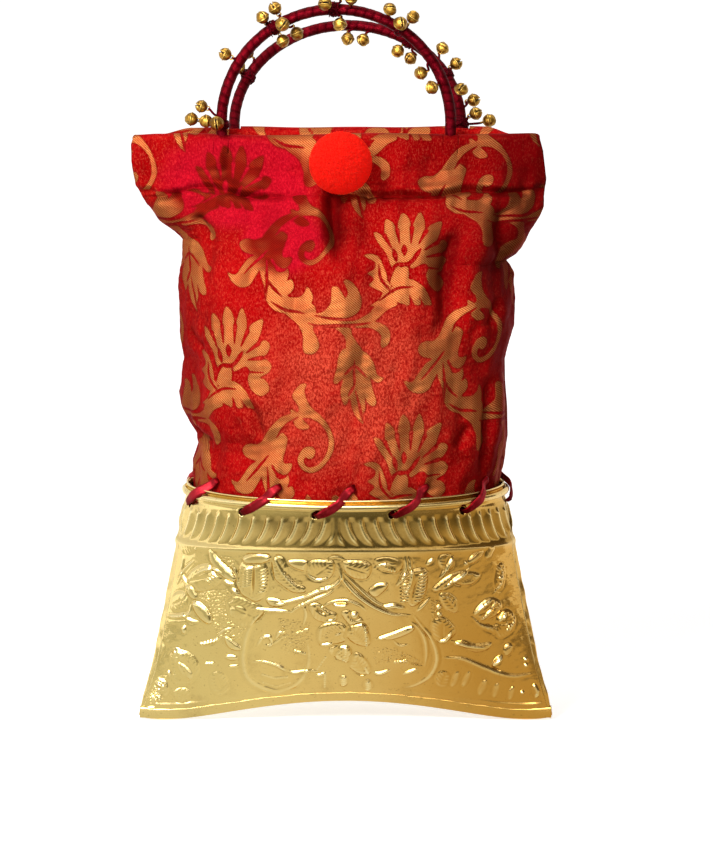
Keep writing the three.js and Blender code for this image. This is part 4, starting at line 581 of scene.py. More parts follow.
def tube(path, radius, sides, closed_ends=True, up=None, flat=1.0, twist=None):
    """A tube along points (mm). radius: number or one per point. Returns points, faces, (u, v)."""
    p = np.asarray(path, float)
    n = len(p)
    t = unit(np.gradient(p, axis=0))
    if up is None:
        a = np.array([0, 0, 1.0]) if abs(t[0][2]) < 0.9 else np.array([1.0, 0, 0])
        ups = np.zeros((n, 3))
        v = unit(a - t[0] * (a @ t[0]))
        for i in range(n):
            v = unit(v - t[i] * (v @ t[i]))
            ups[i] = v
    else:
        ups = np.asarray(up, float)
        ups = unit(ups - t * (ups * t).sum(1)[:, None])
    side = np.cross(t, ups)
    w = np.arange(sides) * 2 * np.pi / sides
    r = np.broadcast_to(np.asarray(radius, float), (n,))
    ang = w[None, :] + (0 if twist is None else np.asarray(twist)[:, None])
    P = p[:, None] + r[:, None, None] * (np.cos(ang)[..., None] * side[:, None] + flat * np.sin(ang)[..., None] * ups[:, None])
    F = [list(f) for f in grid_faces(n, sides, True)[:, ::-1]]
    if closed_ends:
        F.append(list(range(sides)))
        F.append(list(range(n * sides - 1, (n - 1) * sides - 1, -1)))
    length = np.concatenate([[0], np.cumsum(np.linalg.norm(np.diff(p, axis=0), axis=1))])
    uv = np.stack(np.broadcast_arrays(w[None, :] / (2 * np.pi), length[:, None] / 1000.0), -1).reshape(-1, 2)
    return P.reshape(-1, 3), F, uv


class Heap:
    """Gathers many small meshes into one piece."""

    def __init__(self):
        self.p, self.f, self.uv, self.v, self.n = [], [], [], {}, 0

    def add(self, p, f, uv=None, **values):
        p = np.asarray(p, float)
        self.p.append(p)
        self.f += [[i + self.n for i in q] for q in f]
        self.uv.append(np.zeros((len(p), 2)) if uv is None else np.asarray(uv, float))
        for k in set(values) | set(self.v):
            self.v.setdefault(k, [np.zeros(self.n)])
            self.v[k].append(np.broadcast_to(np.asarray(values.get(k, 0.0), float), (len(p),)))
        self.n += len(p)

    def piece(self, name, material, smooth=True):
        return new_piece(name, np.concatenate(self.p), self.f, material, {k: np.concatenate(v) for k, v in self.v.items()},
                         np.concatenate(self.uv), smooth)


def smoothstep(a, b, x):
    t = np.clip((np.asarray(x, float) - a) / (b - a), 0, 1)
    return t * t * (3 - 2 * t)


def ripple(x, y, seed, scale, n=9):
    """Smooth seeded unevenness, about -1 to 1, its waves about scale long."""
    g = np.random.default_rng(seed)
    total = np.zeros(np.broadcast(x, y).shape)
    for _ in range(n):
        a, k, p = g.uniform(0, np.pi), 2 * np.pi / scale * g.uniform(0.5, 1.6), g.uniform(0, 2 * np.pi)
        total = total + np.sin(k * (x * np.cos(a) + y * np.sin(a)) + p)
    return total / (n**0.5 * 1.2)



# -------------------------------------------------------------------- materials
class Paint:
    """Short names for building a node tree."""

    def __init__(self, name):
        self.mat = bpy.data.materials.new(name)
        self.mat.use_nodes = True
        self.t = self.mat.node_tree
        self.t.nodes.clear()
        self.out = self.t.nodes.new("ShaderNodeOutputMaterial")
        self.bsdf = self.t.nodes.new("ShaderNodeBsdfPrincipled")
        self.t.links.new(self.bsdf.outputs[0], self.out.inputs[0])

    def put(self, socket, value):
        if isinstance(value, bpy.types.NodeSocket):
            self.t.links.new(value, socket)
        elif isinstance(value, (tuple, list)):
            v = list(value)
            if len(socket.default_value) == 4 and len(v) == 3:
                v.append(1.0)
            socket.default_value = v
        else:
            socket.default_value = value

    def node(self, kind, ins=None, out=0, **props):
        n = self.t.nodes.new("ShaderNode" + kind)
        for k, v in props.items():
            setattr(n, k, v)
        for k, v in (ins or {}).items():
            self.put(n.inputs[k], v)
        return n.outputs[out]

    def set(self, **kw):
        for k, v in kw.items():
            self.put(self.bsdf.inputs[k.replace("_", " ")], v)

    def obj(self):
        return self.node("TexCoord", out="Object")

    def uv(self):
        return self.node("TexCoord", out="UV")

    def attr(self, name):
        return self.node("Attribute", out="Fac", attribute_name=name)

    def m(self, op, a, b=0.0, c=0.0, clamp=False):
        return self.node("Math", {0: a, 1: b, 2: c}, operation=op, use_clamp=clamp)

    def scale(self, vec, xyz, rot=(0, 0, 0)):
        return self.node("Mapping", {"Vector": vec, "Scale": xyz, "Rotation": rot})

    def noise(self, vec, scale, detail=3.0, rough=0.55, out="Fac", distort=0.0):
        return self.node("TexNoise", {"Vector": vec, "Scale": scale, "Detail": detail, "Roughness": rough, "Distortion": distort}, out=out)

    def ramp(self, fac, *stops):
        n = self.t.nodes.new("ShaderNodeValToRGB")
        e = n.color_ramp.elements
        while len(e) < len(stops):
            e.new(0.5)
        for el, (pos, col) in zip(e, stops):
            el.position = pos
            el.color = (col, col, col, 1) if isinstance(col, (int, float)) else (*col, 1)
        self.put(n.inputs[0], fac)
        return n.outputs[0]

    def range(self, v, a, b, c=0.0, d=1.0):
        return self.node("MapRange", {"Value": v, "From Min": a, "From Max": b, "To Min": c, "To Max": d}, interpolation_type="SMOOTHSTEP")

    def mix(self, fac, a, b, mode="MIX"):
        n = self.t.nodes.new("ShaderNodeMix")
        n.data_type, n.blend_type = "RGBA", mode
        self.put(n.inputs[0], fac)
        self.put(n.inputs[6], a)
        self.put(n.inputs[7], b)
        return n.outputs[2]

    def bump(self, height, strength, distance, normal=None):
        ins = {"Height": height, "Strength": strength, "Distance": distance}
        if normal is not None:
            ins["Normal"] = normal
        return self.node("Bump", ins, out="Normal")


def srgb(r, g, b):
    return tuple(((c / 255) / 12.92 if c / 255 <= 0.04045 else ((c / 255 + 0.055) / 1.055) ** 2.4) for c in (r, g, b))


def brass_material(name, pale, deep, dark, rough, hammer, marks=1.0, relief=True):
    p = Paint(name)
    o = p.obj()
    big = p.noise(o, 16.0, 4.0, 0.6)
    mid = p.noise(o, 90.0, 3.0)
    # painted light: paler on the left, deeper to the right, as the light falls across the base; the big noise adds
    # random unevenness
    x = p.node("SeparateXYZ", {0: o}, out="X")
    side = p.range(x, -0.09, 0.09)
    tone = p.m("ADD", p.m("MULTIPLY", side, 0.8), p.m("MULTIPLY", p.m("SUBTRACT", big, 0.25), 0.45), clamp=True)
    colour = p.mix(tone, pale, deep)
    if relief:
        hollow = p.attr("hollow")
        high = p.attr("high")
        stipple = p.attr("stipple")
        # painted shade darkens the relief's hollows and painted highlight lightens its raised parts
        colour = p.mix(p.m("MULTIPLY", hollow, p.range(mid, 0.25, 0.7, 0.55, 1.0)), colour, dark)
        colour = p.mix(p.m("MULTIPLY", high, 0.7), colour, srgb(240, 224, 172))
    specks = p.range(p.noise(o, 900.0, 2.0), 0.64, 0.74)
    colour = p.mix(p.m("MULTIPLY", specks, 0.35), colour, dark)
    grime = p.range(p.noise(o, 38.0, 6.0, 0.7), 0.52, 0.75)
    colour = p.mix(p.m("MULTIPLY", grime, 0.28), colour, dark)
    r = p.m("ADD", rough, p.m("MULTIPLY", grime, 0.16))
    r = p.m("ADD", r, p.m("MULTIPLY", p.m("SUBTRACT", mid, 0.5), 0.12))
    brushed = p.noise(p.scale(o, (900.0, 900.0, 60.0), (0.2, 0.3, 0.1)), 1.0, 4.0, 0.7)
    n = p.bump(p.noise(o, 70.0, 3.0, 0.5), hammer, 0.0012)
    n = p.bump(p.noise(o, 420.0, 3.0, 0.6), 0.14 * marks, 0.00016, n)
    n = p.bump(brushed, 0.12 * marks, 0.00006, n)
    if relief:
        cells = p.node("TexVoronoi", {"Vector": o, "Scale": 950.0}, out="Distance")
        n = p.bump(p.m("MULTIPLY", p.m("SUBTRACT", 1.0, cells), stipple), 0.65, 0.0005, n)
        r = p.m("ADD", r, p.m("MULTIPLY", stipple, 0.08))
    p.set(Base_Color=colour, Metallic=1.0, Roughness=r, Normal=n)
    p.set(Specular_Tint=(1.0, 0.94, 0.78))
    return p.mat


def brocade_material():
    p = Paint("brocade")
    uv = p.uv()  # millimetres across and up the cloth, divided by 1000
    sep = p.t.nodes.new("ShaderNodeSeparateXYZ")
    p.put(sep.inputs[0], uv)
    u, v = p.m("MULTIPLY", sep.outputs[0], 1000.0), p.m("MULTIPLY", sep.outputs[1], 1000.0)
    d = p.attr("damask")
    ragged = p.m("MULTIPLY", p.m("SUBTRACT", p.noise(uv, 2600.0, 2.0), 0.5), 0.55)
    inside = p.range(p.m("ADD", d, ragged), -0.02, -0.34)
    # twill of the motif: fine slanting floats of gold yarn over dark ones
    twill = p.m("SINE", p.m("MULTIPLY", p.m("ADD", p.m("MULTIPLY", u, 0.93), p.m("MULTIPLY", v, 1.16)), 2 * math.pi / 1.15))
    twill = p.range(p.m("ADD", twill, p.m("MULTIPLY", p.m("SUBTRACT", p.noise(uv, 1800.0, 2.0), 0.5), 2.2)), -0.9, 0.9)
    weft = p.m("SINE", p.m("MULTIPLY", v, 2 * math.pi / 0.42))
    warp = p.m("SINE", p.m("MULTIPLY", u, 2 * math.pi / 0.36))
    fleck = p.noise(p.scale(uv, (1500.0, 820.0, 1.0)), 1.0, 2.0, 0.6, distort=0.9)
    cloudy = p.noise(uv, 34.0, 3.0)
    yarn = p.noise(p.scale(uv, (60.0, 1400.0, 1.0)), 1.0, 3.0)
    lustre = p.attr("lustre")
    shade = p.attr("shade")
    glow = p.attr("glow")
    worn = p.range(p.noise(uv, 62.0, 4.0, 0.6), 0.42, 0.66)
    gold = p.mix(twill, srgb(112, 40, 22), srgb(202, 128, 70))
    gold = p.mix(p.m("MULTIPLY", p.range(yarn, 0.35, 0.7), 0.5), gold, srgb(168, 84, 46))
    # painted glints: tiny pale spots scattered over the gold
    painted_glint = p.range(p.noise(uv, 3300.0, 1.0), 0.66, 0.76)
    gold = p.mix(p.m("MULTIPLY", painted_glint, 0.55), gold, srgb(255, 214, 140))
    gold = p.mix(p.m("MULTIPLY", worn, 0.42), gold, srgb(150, 52, 28))
    red = p.mix(p.range(cloudy, 0.3, 0.7), srgb(158, 4, 8), srgb(190, 12, 16))
    red = p.mix(p.m("MULTIPLY", p.range(fleck, 0.5, 0.68), 0.42), red, srgb(214, 84, 62))
    red = p.mix(p.m("MULTIPLY", p.range(fleck, 0.46, 0.3), 0.5), red, srgb(92, 0, 4))
    # painted sheen: the ground turns pinkish gold over a broad patch of the cloth
    red = p.mix(p.m("MULTIPLY", glow, p.range(fleck, 0.4, 0.62, 0.12, 0.8)), red, srgb(236, 92, 66))
    # where the satin catches the light the ground turns pink and the motif goes dark
    red = p.mix(lustre, red, p.mix(p.range(fleck, 0.35, 0.7), srgb(176, 6, 30), srgb(214, 26, 46)))
    gold = p.mix(lustre, gold, p.mix(twill, srgb(104, 10, 8), srgb(146, 26, 14)))
    colour = p.mix(inside, red, gold)
    edge = p.m("MULTIPLY", p.range(p.m("ABSOLUTE", d), 0.42, 0.05), 0.45)
    colour = p.mix(edge, colour, srgb(112, 16, 10))
    # painted shade from the shade attribute
    colour = p.mix(shade, colour, p.mix(0.22, srgb(60, 0, 4), colour))
    fibre = p.m("MULTIPLY", p.m("ADD", p.m("ADD", weft, warp), p.m("MULTIPLY", p.m("SUBTRACT", fleck, 0.5), 3.0)), 0.5)
    height = p.m("ADD", p.m("MULTIPLY", inside, p.m("ADD", 1.1, p.m("MULTIPLY", twill, 0.9))), p.m("MULTIPLY", p.m("SUBTRACT", 1.0, inside), fibre))
    n = p.bump(height, 0.5, 0.00016)
    n = p.bump(p.noise(uv, 130.0, 3.0), 0.12, 0.0008, n)
    rough = p.mix(inside, p.m("ADD", 0.42, p.m("MULTIPLY", fleck, 0.2)), p.m("ADD", 0.38, p.m("MULTIPLY", twill, 0.14)))
    p.set(Base_Color=colour, Roughness=rough, Normal=n, Specular_Tint=srgb(255, 70, 50), Sheen_Weight=0.02, Sheen_Roughness=0.4, Sheen_Tint=srgb(255, 60, 50),
          Specular_IOR_Level=0.3, IOR=1.14, Anisotropic=0.3, Metallic=p.m("ADD", 0.3, p.m("MULTIPLY", inside, p.m("SUBTRACT", 0.2, p.m("MULTIPLY", lustre, 0.3)))))
    return p.mat


def satin_material(name, base, light, dark, rough=0.3, pitch=0.34, slub=1.0):
    """Satin with fine ribs along its length; uv x crosses it, y runs along it."""
    p = Paint(name)
    uv = p.uv()
    o = p.obj()
    sep = p.t.nodes.new("ShaderNodeSeparateXYZ")
    p.put(sep.inputs[0], uv)
    streak = p.noise(p.scale(uv, (42.0, 22.0, 1.0)), 1.0, 4.0, 0.7)
    fold = p.noise(o, 260.0, 3.0, 0.6)
    weave = p.m("SINE", p.m("MULTIPLY", sep.outputs[1], 2000 * math.pi / pitch))
    colour = p.mix(p.range(streak, 0.3, 0.7), dark, base)
    # painted sheen: paler in the light colour where the fold noise, which also drives the bump, is high
    colour = p.mix(p.m("MULTIPLY", p.range(fold, 0.5, 0.72), 0.6), colour, light)
    # painted highlight in the light colour and painted shade in the dark colour, each from an attribute
    colour = p.mix(p.attr("tint"), colour, light)
    colour = p.mix(p.attr("deep"), colour, dark)
    n = p.bump(streak, 0.28 * slub, 0.0004)
    n = p.bump(fold, 0.3 * slub, 0.0006, n)
    n = p.bump(weave, 0.12, 0.00008, n)
    p.set(Base_Color=colour, Roughness=p.m("ADD", rough, p.m("MULTIPLY", streak, 0.14)), Normal=n, Metallic=0.45,
          Specular_Tint=light, Anisotropic=0.6, Specular_IOR_Level=0.4, IOR=1.25)
    return p.mat


def lining_material():
    p = Paint("lining")
    o = p.obj()
    warp = p.m("SINE", p.m("MULTIPLY", p.node("SeparateXYZ", {0: o}, out="Z"), 2000 * math.pi / 0.5))
    weft = p.m("SINE", p.m("MULTIPLY", p.node("SeparateXYZ", {0: o}, out="X"), 2000 * math.pi / 0.5))
    cloudy = p.noise(o, 45.0, 4.0)
    slub = p.noise(p.scale(o, (1200.0, 1200.0, 60.0)), 1.0, 3.0)
    colour = p.mix(p.range(cloudy, 0.3, 0.7), srgb(96, 6, 20), srgb(140, 14, 34))
    colour = p.mix(p.m("MULTIPLY", p.range(slub, 0.55, 0.75), 0.4), colour, srgb(180, 40, 60))
    n = p.bump(p.m("MULTIPLY", warp, weft), 0.4, 0.00012)
    n = p.bump(p.noise(o, 160.0, 4.0, 0.6), 0.35, 0.0009, n)
    p.set(Base_Color=colour, Roughness=p.m("ADD", 0.42, p.m("MULTIPLY", slub, 0.2)), Normal=n, Sheen_Weight=0.05, Sheen_Tint=srgb(255, 80, 90), IOR=1.2, Specular_Tint=srgb(255, 110, 120))
    return p.mat


def thread_material():
    p = Paint("thread")
    uv = p.uv()
    sep = p.t.nodes.new("ShaderNodeSeparateXYZ")
    p.put(sep.inputs[0], uv)
    ply = p.m("SINE", p.m("MULTIPLY", p.m("ADD", p.m("MULTIPLY", sep.outputs[0], 2.0), p.m("MULTIPLY", sep.outputs[1], 1100.0)), 2 * math.pi))
    fuzz = p.noise(p.obj(), 1800.0, 3.0)
    colour = p.mix(p.range(ply, -0.8, 0.6), srgb(52, 0, 8), srgb(124, 4, 26))
    colour = p.mix(p.m("MULTIPLY", fuzz, 0.25), colour, srgb(160, 20, 40))
    n = p.bump(p.m("ADD", ply, fuzz), 0.6, 0.00016)
    p.set(Base_Color=colour, Roughness=p.m("ADD", 0.5, p.m("MULTIPLY", fuzz, 0.25)), Normal=n, Specular_IOR_Level=0.15, Specular_Tint=srgb(220, 60, 80))
    return p.mat


def wool_material():
    p = Paint("wool")
    o = p.obj()
    tip = p.attr("tip")
    fuzz = p.noise(o, 1300.0, 3.0, 0.7)
    clump = p.noise(o, 210.0, 3.0)
    # painted shade: darker towards the strand roots and on the felted body, deep in the pile
    colour = p.mix(tip, srgb(226, 8, 3), srgb(255, 22, 8))
    colour = p.mix(p.m("MULTIPLY", p.range(clump, 0.45, 0.75), 0.45), colour, srgb(255, 40, 18))
    colour = p.mix(p.m("MULTIPLY", p.range(fuzz, 0.55, 0.8), 0.3), colour, srgb(255, 74, 44))
    n = p.bump(fuzz, 0.7, 0.0004)
    # the wool also glows a little through its emission, as painted light
    p.set(Base_Color=colour, Roughness=p.m("ADD", 0.78, p.m("MULTIPLY", fuzz, 0.18)), Normal=n, Sheen_Weight=0.5, Sheen_Roughness=0.7,
          Sheen_Tint=srgb(255, 90, 60), Subsurface_Weight=0.25, Subsurface_Radius=(0.004, 0.001, 0.0005), Subsurface_Scale=1.0,
          Specular_IOR_Level=0.1, Emission_Color=srgb(255, 26, 8), Emission_Strength=0.34)
    return p.mat


def bell_material():
    p = Paint("bell_brass")
    o = p.obj()
    hollow = p.attr("hollow")
    big = p.noise(o, 120.0, 4.0, 0.65)
    fine = p.noise(o, 1400.0, 3.0, 0.7)
    colour = p.mix(p.range(big, 0.35, 0.7), srgb(172, 130, 52), srgb(116, 78, 26))
    colour = p.mix(p.m("MULTIPLY", p.range(fine, 0.56, 0.78), 0.55), colour, srgb(70, 46, 14))
    colour = p.mix(p.attr("edge"), colour, srgb(214, 178, 92))
    # painted shade in the slit, at its ends, by the ridge and on the pellet
    colour = p.mix(hollow, colour, srgb(26, 16, 5))
    n = p.bump(big, 0.3, 0.0005)
    n = p.bump(fine, 0.4, 0.00012, n)
    p.set(Base_Color=colour, Metallic=p.m("SUBTRACT", 1.0, p.m("MULTIPLY", hollow, 0.6)), Roughness=p.m("ADD", 0.2, p.m("MULTIPLY", big, 0.24)), Normal=n)
    return p.mat


def cane_material():
    p = Paint("cane")
    o = p.obj()
    grain = p.noise(p.scale(o, (240.0, 1500.0, 1500.0)), 1.0, 5.0, 0.65)
    knots = p.noise(o, 90.0, 3.0)
    colour = p.mix(p.range(grain, 0.3, 0.7), srgb(150, 108, 62), srgb(206, 166, 108))
    colour = p.mix(p.m("MULTIPLY", p.range(knots, 0.6, 0.75), 0.5), colour, srgb(96, 60, 30))
    p.set(Base_Color=colour, Roughness=p.m("ADD", 0.45, p.m("MULTIPLY", grain, 0.2)), Normal=p.bump(grain, 0.4, 0.0003))
    return p.mat


def steel_material():
    p = Paint("magnet_steel")
    o = p.obj()
    scratch = p.noise(p.scale(o, (300.0, 300.0, 4000.0)), 1.0, 4.0, 0.7)
    spots = p.noise(o, 500.0, 4.0, 0.7)
    colour = p.mix(p.range(spots, 0.5, 0.75), srgb(186, 188, 192), srgb(120, 116, 112))
    p.set(Base_Color=colour, Metallic=1.0, Roughness=p.m("ADD", 0.24, p.m("MULTIPLY", scratch, 0.25)), Normal=p.bump(scratch, 0.3, 0.0001))
    return p.mat


MAT_BRASS = brass_material("brass_embossed", srgb(228, 206, 140), srgb(192, 142, 62), srgb(112, 84, 26), 0.15, 0.12)
MAT_PLAIN = brass_material("brass_plain", srgb(226, 204, 140), srgb(194, 148, 70), srgb(108, 80, 26), 0.19, 0.2)
MAT_BROCADE = brocade_material()
MAT_LINING = lining_material()
MAT_LACE = satin_material("satin_ribbon", srgb(156, 6, 18), srgb(216, 56, 70), srgb(74, 1, 6))
MAT_WRAP = satin_material("satin_wrap", srgb(90, 2, 11), srgb(150, 22, 38), srgb(34, 0, 4), rough=0.3)
MAT_THREAD = thread_material()
MAT_WOOL = wool_material()
MAT_BELL = bell_material()
MAT_CANE = cane_material()
MAT_STEEL = steel_material()



# ----------------------------------------------------------------- brass base
HOLES = [-12.9 + GIRTH * k / 11 for k in range(11)]
HOLE_D, HOLE_R = 8.2, 1.75
GUSSET_TOP, GUSSET_FOOT = 7.75, 1.7
BASE_PIECES = []


def blur(a, n):
    for _ in range(n):
        p = np.pad(a, 1, mode="edge")
        a = (p[1:-1, 1:-1] * 2 + p[:-2, 1:-1] + p[2:, 1:-1] + p[1:-1, :-2] + p[1:-1, 2:]) / 6
    return a


def hole_distance(s, d):
    best = np.full(np.shape(s), 1e9)
    for h in HOLES:
        ds = np.mod(np.asarray(s) - h + GIRTH / 2, GIRTH) - GIRTH / 2
        best = np.minimum(best, np.hypot(ds, np.asarray(d) - HOLE_D))
    return best


def band(s, d):
    """Mouldings and slanting flutes under the lip, the same all the way round."""
    k = np.abs(np.mod(s + 4.0 + QUARTER, 2 * QUARTER) - QUARTER)
    tau = (d - 8.6) / 16.0
    ph = (k - 5.6 * np.clip(tau, 0, 1) ** 2 + 0.5 * np.sin(k * 0.11)) / 6.2
    f = ph - np.floor(ph)
    saw = np.where(f < 0.78, (f / 0.78) ** 1.6, ((1 - f) / 0.22) ** 1.2)
    env = smoothstep(0.0, 0.22, tau) * smoothstep(1.04, 0.7, tau)
    h = 1.35 * (saw - 0.35) * env * smoothstep(0.5, 2.0, k)
    h = h + 0.85 * np.exp(-(((d - 27.0) / 1.7) ** 2))  # moulding under the flutes
    h = h - 0.3 * np.exp(-(((d - 6.6) / 1.2) ** 2))
    h = h + 0.9 * smoothstep(1.9, 0.0, d) ** 2  # flared lip
    return h


def relief(s, d):
    """Raised and sunk work of one face, s from its middle. Returns height, stipple."""
    h = np.zeros(s.shape)
    ground = np.ones(s.shape)
    for pts, up, soft in RELIEF_DOMES:
        q = smooth_closed(pts, 3)
        k = near(s, d, q, 1.5)
        if not k.any():
            continue
        dist = outline_distance(s[k], d[k], q)
        x = np.clip(-dist / (soft * 0.62), 0, 1)
        x2 = np.clip(-dist / (soft * 1.3), 0, 1)
        rise = up * (0.85 * (1 - (1 - x) ** 2.6) + 0.4 * x2 * x2 * (3 - 2 * x2))
        rise = rise - 0.1 * np.exp(-(((dist - 0.4) / 0.45) ** 2))  # sunk line chased round it
        if soft >= 2.4:  # leaves are hatched in from their edge
            e = q - q.mean(0)
            ax = np.linalg.eigh(e.T @ e)[1][:, 1]
            along = (s[k] - q[:, 0].mean()) * ax[0] + (d[k] - q[:, 1].mean()) * ax[1]
            cross_ = np.abs(-(s[k] - q[:, 0].mean()) * ax[1] + (d[k] - q[:, 1].mean()) * ax[0])
            inside = smoothstep(0.5, 1.1, -dist) * smoothstep(3.6, 2.2, -dist)
            rise = rise + 0.1 * inside * np.cos(2 * np.pi * (along + 0.55 * cross_) / 1.9)
            rise = rise - 0.22 * np.exp(-((cross_ / 0.42) ** 2)) * smoothstep(1.2, 2.4, -dist)
        g = ground[k]
        h[k] = np.where(np.abs(rise) > 1e-3, np.maximum(h[k] * 0.55, 0) + rise, h[k])
        ground[k] = np.minimum(g, smoothstep(-0.2, 0.5, dist))
    for table, sign in ((RELIEF_RIDGES, 1.0), (RELIEF_GROOVES, -1.0)):
        for pts, w, up in table:
            q = smooth_open(pts, 5)
            k = near(s, d, q, 3.0)
            if not k.any():
                continue
            dist, along, _ = path_distance(s[k], d[k], q)
            swell = np.sin(np.pi * np.clip(along, 0, 1))
            end = swell**0.6
            ww = w * (0.5 + 0.7 * swell)
            h[k] += (1.5 if sign > 0 else 1.2) * sign * up * end * np.exp(-((dist / ww) ** 2))
            if sign > 0:
                h[k] -= 0.16 * end * np.exp(-(((dist - 2.1 * ww) / ww) ** 2))
                ground[k] = np.minimum(ground[k], 1 - end * (dist < 1.6 * ww))
    for pts, n, length, w, up in RELIEF_DASHES:
        q = smooth_open(pts, 6)
        seg = np.concatenate([[0], np.cumsum(np.linalg.norm(np.diff(q, axis=0), axis=1))])
        for i in range(n):
            a = seg[-1] * (i + 0.5) / n
            c = np.array([np.interp(a, seg, q[:, 0]), np.interp(a, seg, q[:, 1])])
            e = np.array([np.interp(a + 0.4, seg, q[:, 0]), np.interp(a + 0.4, seg, q[:, 1])]) - np.array(
                [np.interp(a - 0.4, seg, q[:, 0]), np.interp(a - 0.4, seg, q[:, 1])])
            e = unit(e)
            x = np.array([-e[1], e[0]])
            x = unit(x + 0.35 * e)
            q2 = np.array([c - x * length / 2, c + x * length / 2])
            k = near(s, d, q2, 1.6)
            if k.any():
                dist, along, _ = path_distance(s[k], d[k], q2)
                h[k] += 1.35 * up * np.exp(-((dist / (w * 1.15)) ** 2)) * (0.5 + 0.5 * np.sin(np.pi * along))
    for pts, n, r, up in RELIEF_DOTS:
        q = np.array(pts, float)
        for i in range(n):
            a = (len(q) - 1) * (i + 0.5) / n
            c = np.array([np.interp(a, np.arange(len(q)), q[:, 0]), np.interp(a, np.arange(len(q)), q[:, 1])])
            k = (np.abs(s - c[0]) < 3) & (np.abs(d - c[1]) < 3)
            h[k] += 1.4 * up * np.exp(-(((s[k] - c[0]) ** 2 + (d[k] - c[1]) ** 2) / (r * r)) ** 1.3)
    stip = np.zeros(s.shape)
    for pts in RELIEF_STIPPLE:
        q = np.array(pts, float)
        k = near(s, d, q, 2.0)
        if k.any():
            stip[k] = np.maximum(stip[k], smoothstep(0.8, -1.2, outline_distance(s[k], d[k], q)))
    field = smoothstep(29.0, 31.5, d) * smoothstep(102.5, 99.0, d)
    fine = 0.035 * ripple(s, d, 5, 5.0) + 0.12 * ripple(s, d, 6, 15.0)
    pebble = np.clip(ripple(s, d, 8, 1.35, 16), -1, 1) * 0.15
    h = 0.84 * h * np.where(d < 29, smoothstep(26.5, 29.5, d), 1.0)
    h = h + field * (fine + pebble * np.maximum(stip, 0.05) * ground)
    h = h + band(s, d) + 0.35 * smoothstep(101.0, 102.6, d) * smoothstep(106, 104.4, d)
    h = h + 0.22 * np.exp(-(((hole_distance(s, d) - HOLE_R - 0.35) / 0.4) ** 2))
    return h, np.maximum(stip, 0.06 * field) * ground * field


def brass_patch(name, middle, half_top, half_foot, nc, nr, raised, offset, material, out=0.45, inn=0.3):
    v = np.linspace(0, 1, nr)[:, None]
    u = np.linspace(-1, 1, nc)[None, :]
    half = half_top + (half_foot - half_top) * v
    sl = u * half
    dd = np.broadcast_to(v * PANEL_H, sl.shape).copy()
    s_all = sl + middle
    rho = hole_distance(s_all, dd)
    step = max(2 * half_top / (nc - 1), PANEL_H / (nr - 1))
    snap = (rho > HOLE_R - 0.72 * step) & (rho < HOLE_R + 0.3 * step)
    for h in HOLES:
        ds = np.mod(s_all - h + GIRTH / 2, GIRTH) - GIRTH / 2
        mine = snap & (np.hypot(ds, dd - HOLE_D) < HOLE_R + step)
        r = np.maximum(np.hypot(ds, dd - HOLE_D), 1e-6)
        s_all = np.where(mine, h + (s_all - ds - h) + ds * HOLE_R / r, s_all)
        dd = np.where(mine, HOLE_D + (dd - HOLE_D) * HOLE_R / r, dd)
    inner = rho <= HOLE_R - 0.72 * step
    open_ = inner | snap
    quad_open = open_[:-1, :-1] & open_[:-1, 1:] & open_[1:, :-1] & open_[1:, 1:]
    any_in = inner[:-1, :-1] | inner[:-1, 1:] | inner[1:, :-1] | inner[1:, 1:]
    keep = ~(any_in | quad_open)
    P0 = brass(s_all, dd)
    P0[..., 0] += np.sign(P0[..., 0]) * 1.5 * smoothstep(78, 106, dd) * smoothstep(0.90, 0.985, quarter(s_all)[0] / QUARTER)
    N = brass_normal(s_all, dd)
    if raised:
        # the two faces carry the same work, each about its own middle; it fades out at the side seams
        h, stip = relief(s_all - middle, dd)
        fade = smoothstep(1.0, 0.95, np.abs(u)) * np.ones_like(h)
        low = band(s_all, dd)
        h = low + (h - low) * fade
    else:
        h, stip = band(s_all, dd) * 0.8, np.zeros(P0.shape[:2])
        h = h + 0.10 * ripple(s_all, dd, 21, 7.0) + 0.12 * ripple(s_all, dd, 22, 18.0)
    away = smoothstep(104.2, 105.2, dd)
    h = h * (1 - away)
    b = blur(h, 26)
    # painted shade in the hollows and painted highlight on the raised parts, from the height against its blur
    hollow = 0.36 * np.clip((b - h - 0.08) / 0.6, 0, 1)
    high = np.clip((h - b - 0.08) / 0.5, 0, 1)
    # painted shade over the fluted band, least at its left end
    painted_band_shade = smoothstep(7.0, 10.5, dd) * smoothstep(28.0, 24.5, dd) * (0.12 + 0.5 * smoothstep(-62, -12, P0[..., 0]))
    hollow = np.maximum(hollow, painted_band_shade * (1 - 0.6 * high))
    # painted shade round each lacing hole
    hollow = np.maximum(hollow, 0.8 * smoothstep(0.55, 0.0, np.abs(rho - HOLE_R)))
    P = P0 + N * (h + offset)[..., None]
    N2 = grid_normals(P)
    N2 = np.where((N2 * N).sum(-1)[..., None] < 0, -N2, N2)
    Nm = unit(N2 + N)
    # the sheet's front skin is the raised one; winding has to face outwards
    pts, faces, used = thick_sheet(P, Nm, out, inn, keep)
    fn = np.cross(P[0, 1] - P[0, 0], P[1, 0] - P[0, 0])
    if (fn @ N[0, 0]) < 0:
        faces = faces[:, ::-1]
    vals = {"hollow": both(hollow, used), "high": both(high, used), "stipple": both(stip, used)}
    ob = new_piece(name, pts, faces, material, vals)
    BASE_PIECES.append(ob)
    return ob


